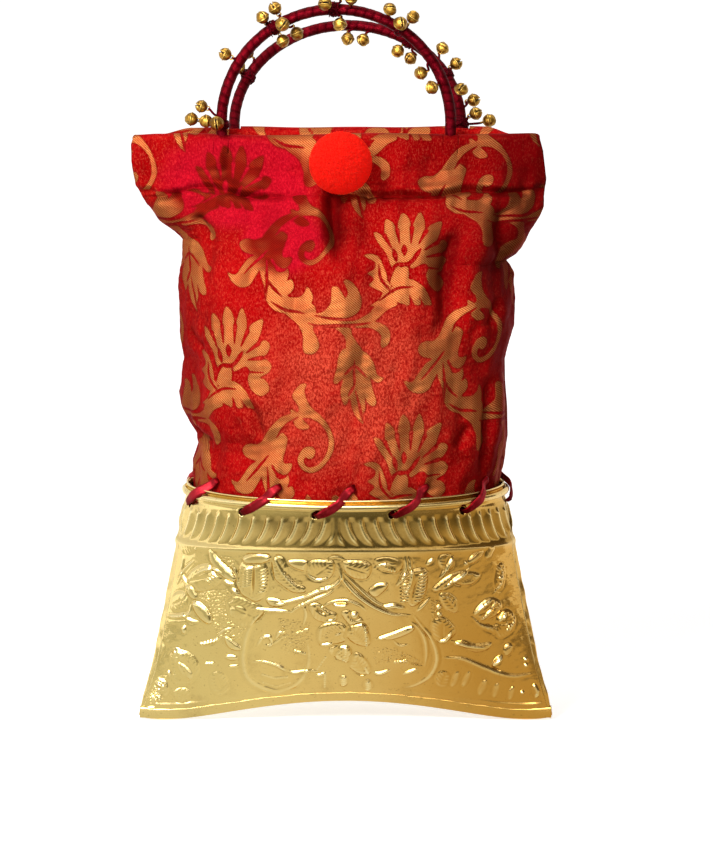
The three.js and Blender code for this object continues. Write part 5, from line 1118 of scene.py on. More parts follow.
def make_brass():
    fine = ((430, 272))
    front = brass_patch("embossed_front", 0.0, QUARTER - GUSSET_TOP, QUARTER - GUSSET_FOOT, *fine, True, 0.0, MAT_BRASS)
    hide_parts("brass_front_panel")
    back = brass_patch("embossed_back", 2 * QUARTER, QUARTER - GUSSET_TOP, QUARTER - GUSSET_FOOT, 330, 210, True, 0.0, MAT_BRASS)
    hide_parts("brass_back_panel")
    for side, mid in (("left", -QUARTER), ("right", QUARTER)):
        g = brass_patch(f"side_lap_{side}", mid, GUSSET_TOP + 2.2, GUSSET_FOOT + 1.2, 70, 180, False, -0.35, MAT_PLAIN, 0.35, 0.35)
        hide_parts(f"brass_side_gusset_{side}")
        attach(g, "bag_base")
    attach(front, "bag_base")
    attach(back, "bag_base")
    # solder line and rounded edge where each panel laps the side strip
    heap = Heap()
    for mid in (0.0, 2 * QUARTER):
        for sgn in (-1, 1):
            d = np.linspace(5.2, 104.2, 150)
            half = QUARTER - GUSSET_TOP + (GUSSET_TOP - GUSSET_FOOT) * d / PANEL_H
            s = mid + sgn * half
            c = brass(s, d) + brass_normal(s, d) * (0.12 + band(s, d) * 0.9)[:, None]
            r = 0.42 + 0.05 * ripple(d, d * 0, 31 + sgn, 9.0)
            p, f, uv = tube(c, r, 8)
            # the seam tubes carry painted highlight and a little painted shade
            heap.add(p, f, uv, high=0.4, hollow=0.15)
    seam = heap.piece("side_seams", MAT_PLAIN)
    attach(seam, "bag_base")
    # rolled bead under the lip
    s = np.linspace(0, GIRTH, 420, endpoint=False)
    n = brass_normal(s, np.full(420, 3.6))
    c = brass(s, np.full(420, 3.6)) + n * 1.1
    down = unit(brass(s, np.full(420, 4.6)) - brass(s, np.full(420, 2.6)))
    w = np.arange(18) * 2 * np.pi / 18
    wob = 1 + 0.03 * ripple(s, s * 0, 41, 11.0)
    P = c[:, None] + (1.45 * np.cos(w)[None, :, None] * down[:, None] + 1.02 * np.sin(w)[None, :, None] * n[:, None]) * wob[:, None, None]
    F = grid_faces(421, 18, True)
    F = F % (420 * 18)
    # painted highlight along the bead's upper half
    bead = new_piece("rim_bead", P.reshape(-1, 3), F[:, ::-1], MAT_PLAIN, {"high": np.tile(np.clip(np.sin(w), 0, 1) * 0.5, 420)})
    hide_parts("brass_rim_bead")
    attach(bead, "bag_base")
    # channel folded over the pinched foot
    end = FOOT_FLAT - 0.2
    tip = QUARTER + 0.6
    xs = np.concatenate([np.linspace(-tip, -end, 5)[:-1], np.linspace(-end, end, 320), np.linspace(end, tip, 5)[1:]])
    rows = []
    for x in xs:
        xc = float(np.clip(x, -end, end))
        wav = 0.10 * math.sin(x * 0.31 + 1.0) + 0.07 * math.sin(x * 0.83)
        up, low = brass(xc, PANEL_H - 3.9 - wav), brass(xc, PANEL_H)
        side = up - low
        side[0] = 0
        side = unit(side)
        nn = np.array([0, -side[2], side[1]])
        if nn[1] > 0:
            nn = -nn
        at = lambda p, off: np.array([x, p[1] + nn[1] * off, p[2] + nn[2] * off])
        g0, g1 = 0.62, 1.02 + wav * 0.2
        zo = low[2]
        o1 = at(low, g1)
        half = [at(up, g1 - 0.15), at(up + side * 0.22, (g0 + g1) / 2), at(up, g0)][::-1]
        out = [at(up, g1 - 0.1), at(up - side * 0.6, g1 + 0.06), at(low + side * 1.0, g1), o1, np.array([x, o1[1] * 0.8, zo - 0.75]),
               np.array([x, o1[1] * 0.4, zo - 1.12])]
        mid_ = np.array([x, 0.0, zo - 1.2])
        inn_ = [at(low, g0), at(up, g0)]
        floor = np.array([x, 0.0, zo - 0.3])
        mir = lambda p: np.array([p[0], -p[1], p[2]])
        ring = out + [mid_] + [mir(p) for p in out[::-1]] + [mir(at(up + side * 0.22, (g0 + g1) / 2))] + [mir(p) for p in inn_[::-1]] + [floor] + inn_ + [half[1]]
        rows.append(ring)
    R = np.array(rows)
    m = R.shape[1]
    F = [list(f) for f in grid_faces(len(xs), m, True)]
    F.append(list(range(m))[::-1])
    F.append([(len(xs) - 1) * m + i for i in range(m)])
    strip = new_piece("foot_channel", R.reshape(-1, 3), F, MAT_PLAIN)
    strip.data.validate()
    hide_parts("brass_foot_strip")
    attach(strip, "bag_base")


make_brass()


# -------------------------------------------------------------- brocade sleeve
CREASE_T = 143.5  # where the hem is stitched down, measured up the cloth
TUCK = 13.5  # cloth taken up in that tuck
FACE_Y = 1.3
SLIT_S, SLIT_UP = 16.4, 4.2
HEM_TOP = {"front": 261.6, "back": 264.0}


def fold_depth(s, t, face):
    """How far the cloth stands off its smooth shape, outwards, in mm."""
    h = 1.8 * ripple(s * 1.0, t * 0.28, 101 + face, 34.0) * smoothstep(12, 50, t) * smoothstep(146, 128, t)
    h = h + 0.42 * ripple(s, t * 0.6, 111 + face, 12.0) * smoothstep(3, 14, t)
    h = h + 0.10 * ripple(s, t, 121 + face, 4.5)
    band_ = smoothstep(CREASE_T, CREASE_T + 3.0, t) * smoothstep(CREASE_T + 25, CREASE_T + 14, t)
    h = h + (0.45 + 0.75 * ripple(s, t * 0.3, 131 + face, 24.0)) * band_
    h = h + 0.55 * ripple(s, t * 0.1, 141 + face, 8.5) * np.exp(-np.abs(t - CREASE_T) / 7.0)
    h = h - (0.62 + 0.4 * ripple(s, s * 0, 153, 30.0)) * np.exp(-(((t - CREASE_T - 0.9 * ripple(s, s * 0, 151, 40.0)) / 1.0) ** 2))
    # drawn in by the lacing just above the rim
    for k in HOLES:
        c = k + SLIT_S if face == 0 else 2 * QUARTER - (k + SLIT_S)
        c = (c + GIRTH / 2) % GIRTH - GIRTH / 2
        if abs(c) < 100:
            h = h - 1.1 * np.exp(-(((s - c) / 2.6) ** 2) - ((t - 10.0) / 3.4) ** 2)
            h = h - 0.5 * np.exp(-(((s - c - 0.22 * (t - 10)) / 1.6) ** 2)) * smoothstep(48, 12, t) * smoothstep(4, 12, t)
    if face == 0:
        for path, depth, width in FOLDS:
            q = smooth_open(path, 5)
            k = near(s, t, q, width * 4)
            if not k.any():
                continue
            d, a, side = path_distance(s[k], t[k], q)
            end = smoothstep(-0.02, 0.2, a) * smoothstep(1.02, 0.75, a)
            h[k] -= 1.25 * depth * end * np.exp(-((d / width) ** 2))
            h[k] += 0.5 * depth * end * np.exp(-(((d - 2.1 * width) / (1.3 * width)) ** 2))
    else:
        for c, top, low, depth in ((-30, 140, 60, 2.2), (22, 142, 85, 2.0), (52, 132, 30, 1.8), (-58, 120, 20, 1.8)):
            x = s - c - 2.5 * np.sin(t / 19.0 + c)
            h = h - depth * np.exp(-((x / 4.2) ** 2)) * smoothstep(low, low + 25, t) * smoothstep(top, top - 20, t)
    return h


def cloth_grid(face, nu, nt):
    """Rows up the outside, over the hem and down inside. Returns points, s, t, kind and w."""
    name = "front" if face == 0 else "back"
    w = np.linspace(-1, 1, nu)
    tmax = cloth_t(257.0)
    t0 = cloth_t(104.0)
    f = (np.interp(np.linspace(t0, tmax, nt), _up, _zz) - 104.0) / (257.0 - 104.0)
    top = HEM_TOP[name] - (0 if face == 0 else 3.0) * smoothstep(0.52, 0.66, np.abs(w)) + 0.45 * ripple(w * 90, w * 0, 161 + face, 46.0) - 1.2 * np.abs(w) ** 14
    ytop = sleeve(w, np.full(nu, 258.0))[:, 1]
    r = (np.abs(ytop) - FACE_Y) / 2
    r = np.maximum(r, 0.7)
    zc = top - 0.4 - r
    Z = 104.0 + (zc[None, :] - 104.0) * f[:, None]
    P = sleeve(np.broadcast_to(w, Z.shape), Z)
    P[..., 1] += 0.3 * smoothstep(222, 204, Z)
    seg = np.linalg.norm(np.diff(P, axis=1), axis=2)
    S = np.concatenate([np.zeros((nt, 1)), np.cumsum(seg, axis=1)], 1)
    S = S - S[:, [nu // 2]]
    up = np.concatenate([[0], np.cumsum(np.linalg.norm(np.diff(P[:, nu // 2], axis=0), axis=1))]) + t0
    T = np.broadcast_to(up[:, None], Z.shape).copy()
    N = grid_normals(P)
    if N[nt // 3, nu // 2, 1] > 0:
        N = -N
    edge = smoothstep(1.0, 0.93, np.abs(w))[None, :]
    h = fold_depth(S, T, face) * edge
    h = h * smoothstep(cloth_t(257.5) + 3, cloth_t(249.0), T)
    if face == 0:  # the two rods stand behind the front wall of the hem and round it out
        for x in (FRONT_X - RING_R, FRONT_X + RING_R):
            h = h + 1.15 * np.exp(-(((P[..., 0] - x) / 5.0) ** 2)) * smoothstep(240, 254, Z)
    Q = P + N * h[..., None]
    rows, ss, tt = [Q], [S], [T]
    end, st = Q[-1], S[-1]
    arc = np.linspace(0, np.pi, 15)[1:]
    tcur = T[-1]
    for a in arc:
        ry = (np.abs(end[:, 1]) - FACE_Y) / 2
        rows.append(np.stack([end[:, 0], -(FACE_Y + ry + ry * np.cos(a)), zc + r * np.sin(a)], -1)[None])
        tcur = tcur + r * (arc[1] - arc[0])
        ss.append(st[None])
        tt.append(tcur[None])
    inner = np.linspace(0, 1, 17)[1:]
    last = rows[-1][0]
    for g in inner:
        z = zc + (237.5 - zc) * g
        wx = sleeve(w, z)[:, 0]
        x = np.where(np.abs(wx) < np.abs(last[:, 0]), wx, last[:, 0])
        y = -(FACE_Y + 0.25 * (1 + ripple(w * 90, z * 0.5, 171 + face, 22.0)) * np.sin(np.pi * min(g, 0.85)))
        rows.append(np.stack([x, y, z], -1)[None])
        ss.append(st[None])
        tt.append((tcur + (zc - 237.5) * g)[None])
    P = np.concatenate(rows)
    S = np.concatenate(ss)
    T = np.concatenate(tt)
    kind = np.concatenate([np.zeros(nt), np.ones(len(arc)), np.full(len(inner), 2)])
    return P, S, T, kind, w


def mouth_weight(x, z, w):
    """0 where the cloth stays with the base, 1 where it goes with the mouth."""
    side = 1 - smoothstep(0.50, 1.0, np.abs(w))
    return smoothstep(160, 246, z) * side


# painted sheen: two fixed patches on the front where the satin is shown catching the light
def lustre(s, t):
    a = smoothstep(1.15, 0.72, np.hypot((s + 46) / 36, (t - 148) / 24))
    b = smoothstep(1.2, 0.7, np.hypot((s + 27) / 18, (t - 122) / 17))
    return np.clip(np.maximum(a, b) + 0.12 * ripple(s, t, 181, 14.0) * (a + b > 0.05), 0, 1)


def make_cloth(face):
    name = "front" if face == 0 else "back"
    nu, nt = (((301, 261))) if face == 0 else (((231, 200)))
    P, S, T, kind, w = cloth_grid(face, nu, nt)
    W = np.broadcast_to(w, S.shape)
    tv = T + np.where(T > CREASE_T, TUCK, 0.0)
    pattern_s = S if face == 0 else S + 95.0
    D = damask(pattern_s, tv - 0.0)
    if face == 0:
        # painted light on the front: sheen patches, shade down the right side, at the left edge, under the pompom and
        # by the hem, and a broad sheen over the middle
        lus = lustre(S, T)
        shade = 0.62 * smoothstep(54, 78, S) + 0.5 * smoothstep(-68, -88, S) * smoothstep(CREASE_T, CREASE_T - 12, T)
        shade = shade + 0.5 * smoothstep(30, 48, S) * smoothstep(150, 138, T) * smoothstep(84, 112, T) * smoothstep(86, 70, S)
        shade = shade + 0.72 * np.exp(-(((S + 4.5 + 0.03 * (T - 130)) / 7.0) ** 2)) * smoothstep(98, 128, T) * smoothstep(150, 144, T)
        shade = shade + 0.42 * smoothstep(8, 34, S) * smoothstep(CREASE_T - 2, CREASE_T + 4, T)
        shade = shade + 0.3 * smoothstep(-20, 6, S) * smoothstep(40, 22, S) * smoothstep(CREASE_T - 14, CREASE_T - 3, T) * smoothstep(CREASE_T + 1, CREASE_T - 2, T)
        glow = smoothstep(1.25, 0.35, np.hypot((S - 2) / 46, (T - 56) / 44))
        glow = np.clip(glow * (1 + 0.35 * ripple(S, T, 183, 18.0)), 0, 1) * (kind[:, None] == 0)
    else:
        # the same painted sheen and painted shade, placed for the back
        lus = 0.7 * smoothstep(1.1, 0.6, np.hypot((S - 35) / 34, (T - 100) / 30))
        shade = 0.4 * smoothstep(74, 92, np.abs(S))
        glow = 0.8 * smoothstep(1.2, 0.4, np.hypot((S + 10) / 50, (T - 60) / 40)) * (kind[:, None] == 0)
    # painted shade in the fold valleys and on the inside of the hem
    valley = np.clip(-fold_depth(S, T, face) - 0.5, 0, 2.6) / 2.6
    shade = shade + 0.55 * valley * (kind[:, None] == 0) * (T < CREASE_T + 2)
    shade = np.clip(np.where(kind[:, None] == 2, 0.35, shade), 0, 0.85)
    N = grid_normals(P)
    ref = N[nt // 3, nu // 2, 1]
    if ref > 0:
        N = -N
    N[:nt, 0] = (-1, 0, 0)
    N[:nt, -1] = (1, 0, 0)
    keep = np.ones((len(P) - 1, nu - 1), bool)
    legs = (FRONT_X - RING_R, FRONT_X + RING_R) if face == 0 else (BACK_X - RING_R, BACK_X + RING_R)
    stop = nt + 12 if face == 0 else nt + 9
    xm = (P[:-1, :-1, 0] + P[1:, 1:, 0]) / 2
    zm = (P[:-1, :-1, 2] + P[1:, 1:, 2]) / 2
    row = np.arange(len(P) - 1)[:, None]
    tabs = []
    for x in legs:
        near_leg = (np.abs(xm - x) < 3.2) & (zm > 253.4) & (row < stop)
        keep &= ~near_leg
        tabs.append((np.abs(xm - x) < 3.3) & (zm > 252.2) & (row < nt + 5))
    weight = mouth_weight(P[..., 0], P[..., 2], W)
    flip = face == 1

    def build(nm, mask, half):
        pts, faces, used = thick_sheet(P, N, half, half, mask)
        uv = both(np.stack([pattern_s / 1000, tv / 1000], -1), used)
        if flip:
            pts = pts * np.array([1, -1, 1])
        fn = np.cross(P[5, nu // 2 + 1] - P[5, nu // 2], P[6, nu // 2] - P[5, nu // 2])
        if (fn @ N[5, nu // 2] < 0) != flip:
            faces = faces[:, ::-1]
        vals = {"damask": both(D, used), "lustre": both(lus, used), "shade": both(shade, used), "glow": both(glow, used)}
        ob = new_piece(nm, pts, faces, MAT_BROCADE, vals, uv)
        return ob, used

    ob, used = build(f"brocade_{name}", keep, 0.42)
    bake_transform(ob)
    both(weight, used).astype(np.float32)
    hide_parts(f"brocade_lower_{name}", f"brocade_upper_{name}")
    if face == 0:
        for k, (side, mask) in enumerate(zip(("left", "right"), tabs)):
            tab, _ = build(f"hem_tab_{side}", mask, 0.40)
            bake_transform(tab)
            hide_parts("brocade_upper_front")
    return P, S, T, N, W


CLOTH_F = make_cloth(0)
CLOTH_B = make_cloth(1)


# --------------------------------------------------------------------- linings
def make_lining():
    for face, name in ((0, "front"), (1, "back")):
        w = np.linspace(-1, 1, 121) * 0.955
        z = np.linspace(172.6, 236.4, 60)
        W, Z = np.meshgrid(w, z)
        P = sleeve(W, Z)
        N = grid_normals(P)
        if N[30, 60, 1] > 0:
            N = -N
        off = -1.55 - 0.9 * (0.5 + 0.5 * ripple(P[..., 0] * 1.2, Z * 0.3, 201 + face, 20.0)) * smoothstep(172, 182, Z) * smoothstep(234, 215, Z)
        off = off - 1.3 * smoothstep(0.86, 0.955, np.abs(W)) * smoothstep(214, 200, Z)
        if face == 0:
            off = off - 2.6 * np.exp(-(((P[..., 0] + 2) / 6.0) ** 2)) * smoothstep(178, 200, Z) * smoothstep(236, 215, Z) * 0.9
            off = off - 2.2 * np.exp(-(((P[..., 0] - 44) / 8.0) ** 2)) * smoothstep(230, 210, Z)
        S = np.concatenate([np.zeros((60, 1)), np.cumsum(np.linalg.norm(np.diff(P, axis=1), axis=2), axis=1)], 1)
        S = (S - S[:, [60]]) * (1 if face == 0 else 1)
        T = np.interp(Z, _zz, _up)
        dip = np.zeros(S.shape)
        for ds in (-3.2, -1.6, 0, 1.6, 3.2):
            for dt in (-3.0, 0, 3.0):
                dip = np.minimum(dip, fold_depth(S + ds, T + dt, face))
        P = P + N * (off + 1.1 * blur(dip, 2) - 0.2)[..., None]
        P[..., 1] = np.minimum(P[..., 1], -1.0)
        N = grid_normals(P)
        if N[30, 60, 1] > 0:
            N = -N
        pts, faces, used = thick_sheet(P, N, 0.22, 0.22)
        flip = face == 1
        if flip:
            pts = pts * np.array([1, -1, 1])
        fn = np.cross(P[5, 61] - P[5, 60], P[6, 60] - P[5, 60])
        if (fn @ N[5, 60] < 0) != flip:
            faces = faces[:, ::-1]
        ob = new_piece(f"lining_sheet_{name}", pts, faces, MAT_LINING)
        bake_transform(ob)
        wt = both(mouth_weight(P[..., 0], P[..., 2], W / 0.955), used)
        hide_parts(f"lining_upper_{name}")
    # the pocket that hangs down into the base
    n = 240
    s = GIRTH * np.arange(n) / n
    keys = []
    t, sx, sy = quarter(s)
    ang = np.interp(t, _arc, _th)
    nrm = brass_normal(s, np.full(n, 2.0))
    flat_n = unit(nrm * np.array([1, 1, 0]))
    for z, off in ((170.8, 3.4), (160, 4.6), (145, 5.0), (122, 5.6)):
        c = sleeve(2 / np.pi * ang * sx, np.full(n, float(z)))
        c = np.stack([c[:, 0], -sy * c[:, 1] * -1, c[:, 2]], -1)
        c[:, 1] = np.abs(c[:, 1]) * sy
        keys.append(c - flat_n * off)
    for d, off in ((2, 7.0), (14, 6.0), (30, 4.8), (45, 4.0), (62, 3.4), (75, 3.0), (88, 2.3), (93, 1.9)):
        b0 = brass(s, np.full(n, float(d)))
        c = b0 - brass_normal(s, np.full(n, float(d))) * off
        c[:, 1] = sy * np.clip(np.minimum(np.abs(c[:, 1]), np.abs(b0[:, 1]) - 1.6), 0.3, None)
        c[:, 0] = np.sign(b0[:, 0]) * np.minimum(np.abs(c[:, 0]), np.abs(b0[:, 0]).max() - 3.2)
        keys.append(c)
    K = np.array(keys)
    K[-1][:, 1] = sy * 0.35
    rows = 110
    u = np.linspace(0, len(K) - 1, rows)
    i = np.clip(u.astype(int), 0, len(K) - 2)
    f = u - i
    a, b, c, d_ = K[np.maximum(i - 1, 0)], K[i], K[i + 1], K[np.minimum(i + 2, len(K) - 1)]
    f = f[:, None, None]
    P = 0.5 * (2 * b + (c - a) * f + (2 * a - 5 * b + 4 * c - d_) * f**2 + (3 * b - a - 3 * c + d_) * f**3)
    N = grid_normals(P, True)
    if (N[rows // 2, 0] @ np.array([0, -1, 0])) < 0:
        N = -N
    Sg, Rg = np.meshgrid(s, np.linspace(0, 170, rows))
    dent = 1.0 * (0.5 + 0.5 * ripple(np.sin(2 * np.pi * Sg / GIRTH) * 58, np.cos(2 * np.pi * Sg / GIRTH) * 58 + Rg * 0.25, 221, 16.0))
    dent = dent * smoothstep(0, 12, Rg) * smoothstep(168, 140, Rg)
    P = P - N * (dent * smoothstep(0.5, 6.0, np.abs(P[..., 1])))[..., None]
    N = grid_normals(P, True)
    if (N[rows // 2, 0] @ np.array([0, -1, 0])) < 0:
        N = -N
    pts, faces, used = thick_sheet(P, N, 0.22, 0.22, None, True)
    fn = np.cross(P[5, 1] - P[5, 0], P[6, 0] - P[5, 0])
    if fn @ N[5, 0] < 0:
        faces = faces[:, ::-1]
    ob = new_piece("lining_pocket_sheet", pts, faces, MAT_LINING)
    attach(ob, "bag_base")
    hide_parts("lining_pocket")


make_lining()


# ---------------------------------------------------------------- satin lacing
def spline(p, n):
    """Centripetal Catmull-Rom through points, n steps a span, with any extra columns carried along."""
    p = np.asarray(p, float)
    q = np.vstack([2 * p[0] - p[1], p, 2 * p[-1] - p[-2]])
    out = []
    for i in range(1, len(q) - 2):
        a, b, c, d = q[i - 1], q[i], q[i + 1], q[i + 2]
        ta = 0.0
        tb = ta + max(np.linalg.norm(b[:3] - a[:3]), 1e-3) ** 0.5
        tc = tb + max(np.linalg.norm(c[:3] - b[:3]), 1e-3) ** 0.5
        td = tc + max(np.linalg.norm(d[:3] - c[:3]), 1e-3) ** 0.5
        for k in range(n):
            t = tb + (tc - tb) * k / n
            A1 = (tb - t) / (tb - ta) * a + (t - ta) / (tb - ta) * b
            A2 = (tc - t) / (tc - tb) * b + (t - tb) / (tc - tb) * c
            A3 = (td - t) / (td - tc) * c + (t - tc) / (td - tc) * d
            B1 = (tc - t) / (tc - ta) * A1 + (t - ta) / (tc - ta) * A2
            B2 = (td - t) / (td - tb) * A2 + (t - tb) / (td - tb) * A3
            out.append((tc - t) / (tc - tb) * B1 + (t - tb) / (tc - tb) * B2)
    out.append(q[-2])
    return np.array(out)


def cloth_at(s, z):
    t, sx, sy = quarter(np.array([s]))
    a = np.interp(t, _arc, _th) * 2 / np.pi * sx
    p = sleeve(a, np.array([float(z)]))[0]
    p[1] = abs(p[1]) * sy[0]
    return p


def make_lacing():
    # the last two columns are painted shade, where the ribbon goes into the holes and slits or behind the brass and
    # cloth, and painted highlight, where it runs over the lip
    rows = []  # x, y, z, half width, nx, ny, nz, deep, tint
    for k, s in enumerate(HOLES):
        def on(ds, d, off, wd, deep=0.0, tint=0.0):
            ss, dd = np.array([s + ds]), np.array([float(d)])
            n = brass_normal(ss, np.maximum(dd, 0.2))[0]
            rows.append([*(brass(ss, dd)[0] + n * off), wd, *n, deep, tint])

        def at(ds, up, off, wd, deep=0.0, tint=0.0):
            n = brass_normal(np.array([s + ds]), np.array([2.0]))[0]
            n = unit(n * np.array([1, 1, 0]))
            rows.append([*(cloth_at(s + ds, RIM_Z + up) + n * off), wd, *n, deep, tint])

        if k == 0:
            on(-3.0, 6.2, -3.2, 1.6, 0.6)
        on(-0.2, HOLE_D + 0.3, -1.6, 1.1, 1.0)
        on(0.0, HOLE_D, 0.9, 1.05, 0.95)
        on(1.2, HOLE_D - 0.7, 2.3, 1.45, 0.55)
        on(4.3, 5.2, 3.1, 2.1, 0.1, 0.2)
        on(7.8, 2.6, 3.4, 2.2, 0.0, 0.6)
        on(11.0, 0.2, 2.1, 2.1, 0.0, 0.7)
        at(13.8, 2.4, 1.3, 2.0, 0.0, 0.55)
        at(SLIT_S, SLIT_UP, 0.9, 1.6, 0.25, 0.1)
        at(SLIT_S + 0.8, SLIT_UP + 0.3, -1.2, 1.5, 0.9)
        at(SLIT_S + 5, 2.2, -2.2, 1.9, 0.6)
        at(SLIT_S + 10.0, -1.8, -1.9, 1.9, 0.6)
        if k < 10:
            on(GIRTH / 11 - 2.6, 7.4, -2.9, 1.7, 0.7)
    R = spline(rows, 7)
    p = R[:, :3]
    t = unit(np.gradient(p, axis=0))
    n = R[:, 4:7]
    n = unit(n - t * (n * t).sum(1)[:, None])
    side = np.cross(t, n)
    m = 20
    a = np.arange(m) * 2 * np.pi / m
    L = np.concatenate([[0], np.cumsum(np.linalg.norm(np.diff(p, axis=0), axis=1))])
    roll = 0.35 * ripple(L, L * 0, 301, 30.0)
    ca, sa = np.cos(a), np.sin(a)
    crease = 0.16 * np.sin(3 * a)[None, :] + 0.10 * ripple(L[:, None] * 0.4, np.cos(a)[None, :] * 6, 305, 5.0)
    half = R[:, 3][:, None]
    thick = 0.52 - 0.10 * (half - 1.0)
    sag = 0.35 * (ca[None, :] ** 2) * (half > 1.5)  # the edges curl towards the brass
    lx = half * ca[None, :] * (1 + 0.05 * ripple(L[:, None], ca[None, :] * 3, 303, 7.0))
    ly = thick * np.sign(sa)[None, :] * np.abs(sa)[None, :] ** 0.8 + crease * np.abs(sa)[None, :] * np.minimum(half / 1.8, 1) - sag
    cr, sr = np.cos(roll)[:, None], np.sin(roll)[:, None]
    x2, y2 = lx * cr - ly * sr * 0.4, ly * cr + lx * sr * 0.22
    P = p[:, None] + x2[..., None] * side[:, None] + y2[..., None] * n[:, None]
    F = [list(f) for f in grid_faces(len(p), m, True)]
    F += [list(range(m))[::-1], [(len(p) - 1) * m + i for i in range(m)]]
    uv = np.stack([np.broadcast_to((ca * 0.5 + 0.5)[None, :], lx.shape), np.broadcast_to((L / 1000)[:, None], lx.shape)], -1).reshape(-1, 2)
    ridge = np.clip(sa, 0, 1)[None, :] * np.ones_like(lx)
    # the painted highlight lies on the ribbon's upper face only
    vals = {"deep": np.repeat(R[:, 7], m), "tint": (R[:, 8][:, None] * ridge * 0.8).ravel()}
    ob = new_piece("satin_lacing", P.reshape(-1, 3), F, MAT_LACE, vals, uv)
    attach(ob, "bag_base")
    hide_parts("lacing_ribbon")


make_lacing()


# --------------------------------------------------------------------- handles
def handle_frame(side):
    x0, y0, lean = (FRONT_X, -BAR_Y, math.radians(FRONT_LEAN)) if side == "front" else (BACK_X, BAR_Y, -math.radians(BACK_LEAN))
    R = np.array([[1, 0, 0], [0, math.cos(lean), -math.sin(lean)], [0, math.sin(lean), math.cos(lean)]])
    return lambda p: np.asarray(p, float) @ R.T + np.array([x0, y0, BAR_Z]), R


def arch_at(a):
    """Centre line of the rod's arch in its own plane, a in mm along it from the left corner."""
    a = np.asarray(a, float)
    leg, turn = LEG - 0.2, math.pi * RING_R
    th = np.pi - np.clip(a - leg, 0, turn) / RING_R
    x = RING_R * np.cos(th)
    h = LEG + RING_R * np.sin(th)
    h = np.where(a < leg, 0.2 + a, h)
    h = np.where(a > leg + turn, LEG - (a - leg - turn), h)
    return np.stack([x, np.zeros_like(x), h], -1)


ARCH = 2 * (LEG - 0.2) + math.pi * RING_R


def make_wrap(side):
    put, R = handle_frame(side)
    n, m = 560, 22
    a = np.linspace(0, ARCH, n)
    c = arch_at(a)
    t = unit(np.gradient(c, axis=0))
    up = np.array([0, 1.0, 0])
    nrm = np.cross(t, up)
    th = np.arange(m) * 2 * np.pi / m
    pitch = 3.7
    wob = 0.5 * ripple(a, a * 0, 311 if side == "front" else 317, 17.0)
    ph = (a[:, None] + wob[:, None] * 0.5) / pitch - th[None, :] / (2 * np.pi)
    f = ph - np.floor(ph)
    edge = np.where(f < 0.12, f / 0.12, 1.0)
    r = 2.28 + 0.16 * edge * (1 - 0.5 * f) + 0.05 * ripple(a[:, None], th[None, :] * 2.4, 313, 4.0)
    tight = smoothstep(0, 2.5, a) * smoothstep(0, 2.5, ARCH - a)
    r = r * (0.93 + 0.07 * tight[:, None])
    P = c[:, None] + r[..., None] * (np.cos(th)[None, :, None] * nrm[:, None] + np.sin(th)[None, :, None] * up)
    F = [list(q) for q in grid_faces(n, m, True)]
    F += [list(range(m))[::-1], [(n - 1) * m + i for i in range(m)]]
    fn = np.cross(P[5, 1] - P[5, 0], P[6, 0] - P[5, 0])
    if fn @ (P[5, 0] - c[5]) < 0:
        F = [q[::-1] for q in F]
    uv = np.stack([f, (np.floor(ph) * 2 * math.pi * 2.4 + th[None, :] * 2.4) / 1000], -1).reshape(-1, 2)
    # painted shade where each turn tucks under the next, painted highlight across the middle of each turn
    vals = {"deep": (0.5 * smoothstep(0.16, 0.0, f) + 0.15 * smoothstep(0.9, 1.0, f)).ravel(), "tint": (0.22 * smoothstep(0.5, 0.2, np.abs(f - 0.45))).ravel()}
    ob = new_piece(f"ribbon_wrap_{side}", put(P.reshape(-1, 3)), F, MAT_WRAP, vals, uv)
    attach(ob, f"handle_{side}")
    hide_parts(f"handle_wrap_{side}")


def nearest_arch(x, h):
    """Arc position of the rod's centre line nearest to a place in the handle's plane."""
    a = np.linspace(0, ARCH, 1200)
    c = arch_at(a)
    return a[np.argmin((c[:, 0] - x) ** 2 + (c[:, 2] - h) ** 2)]


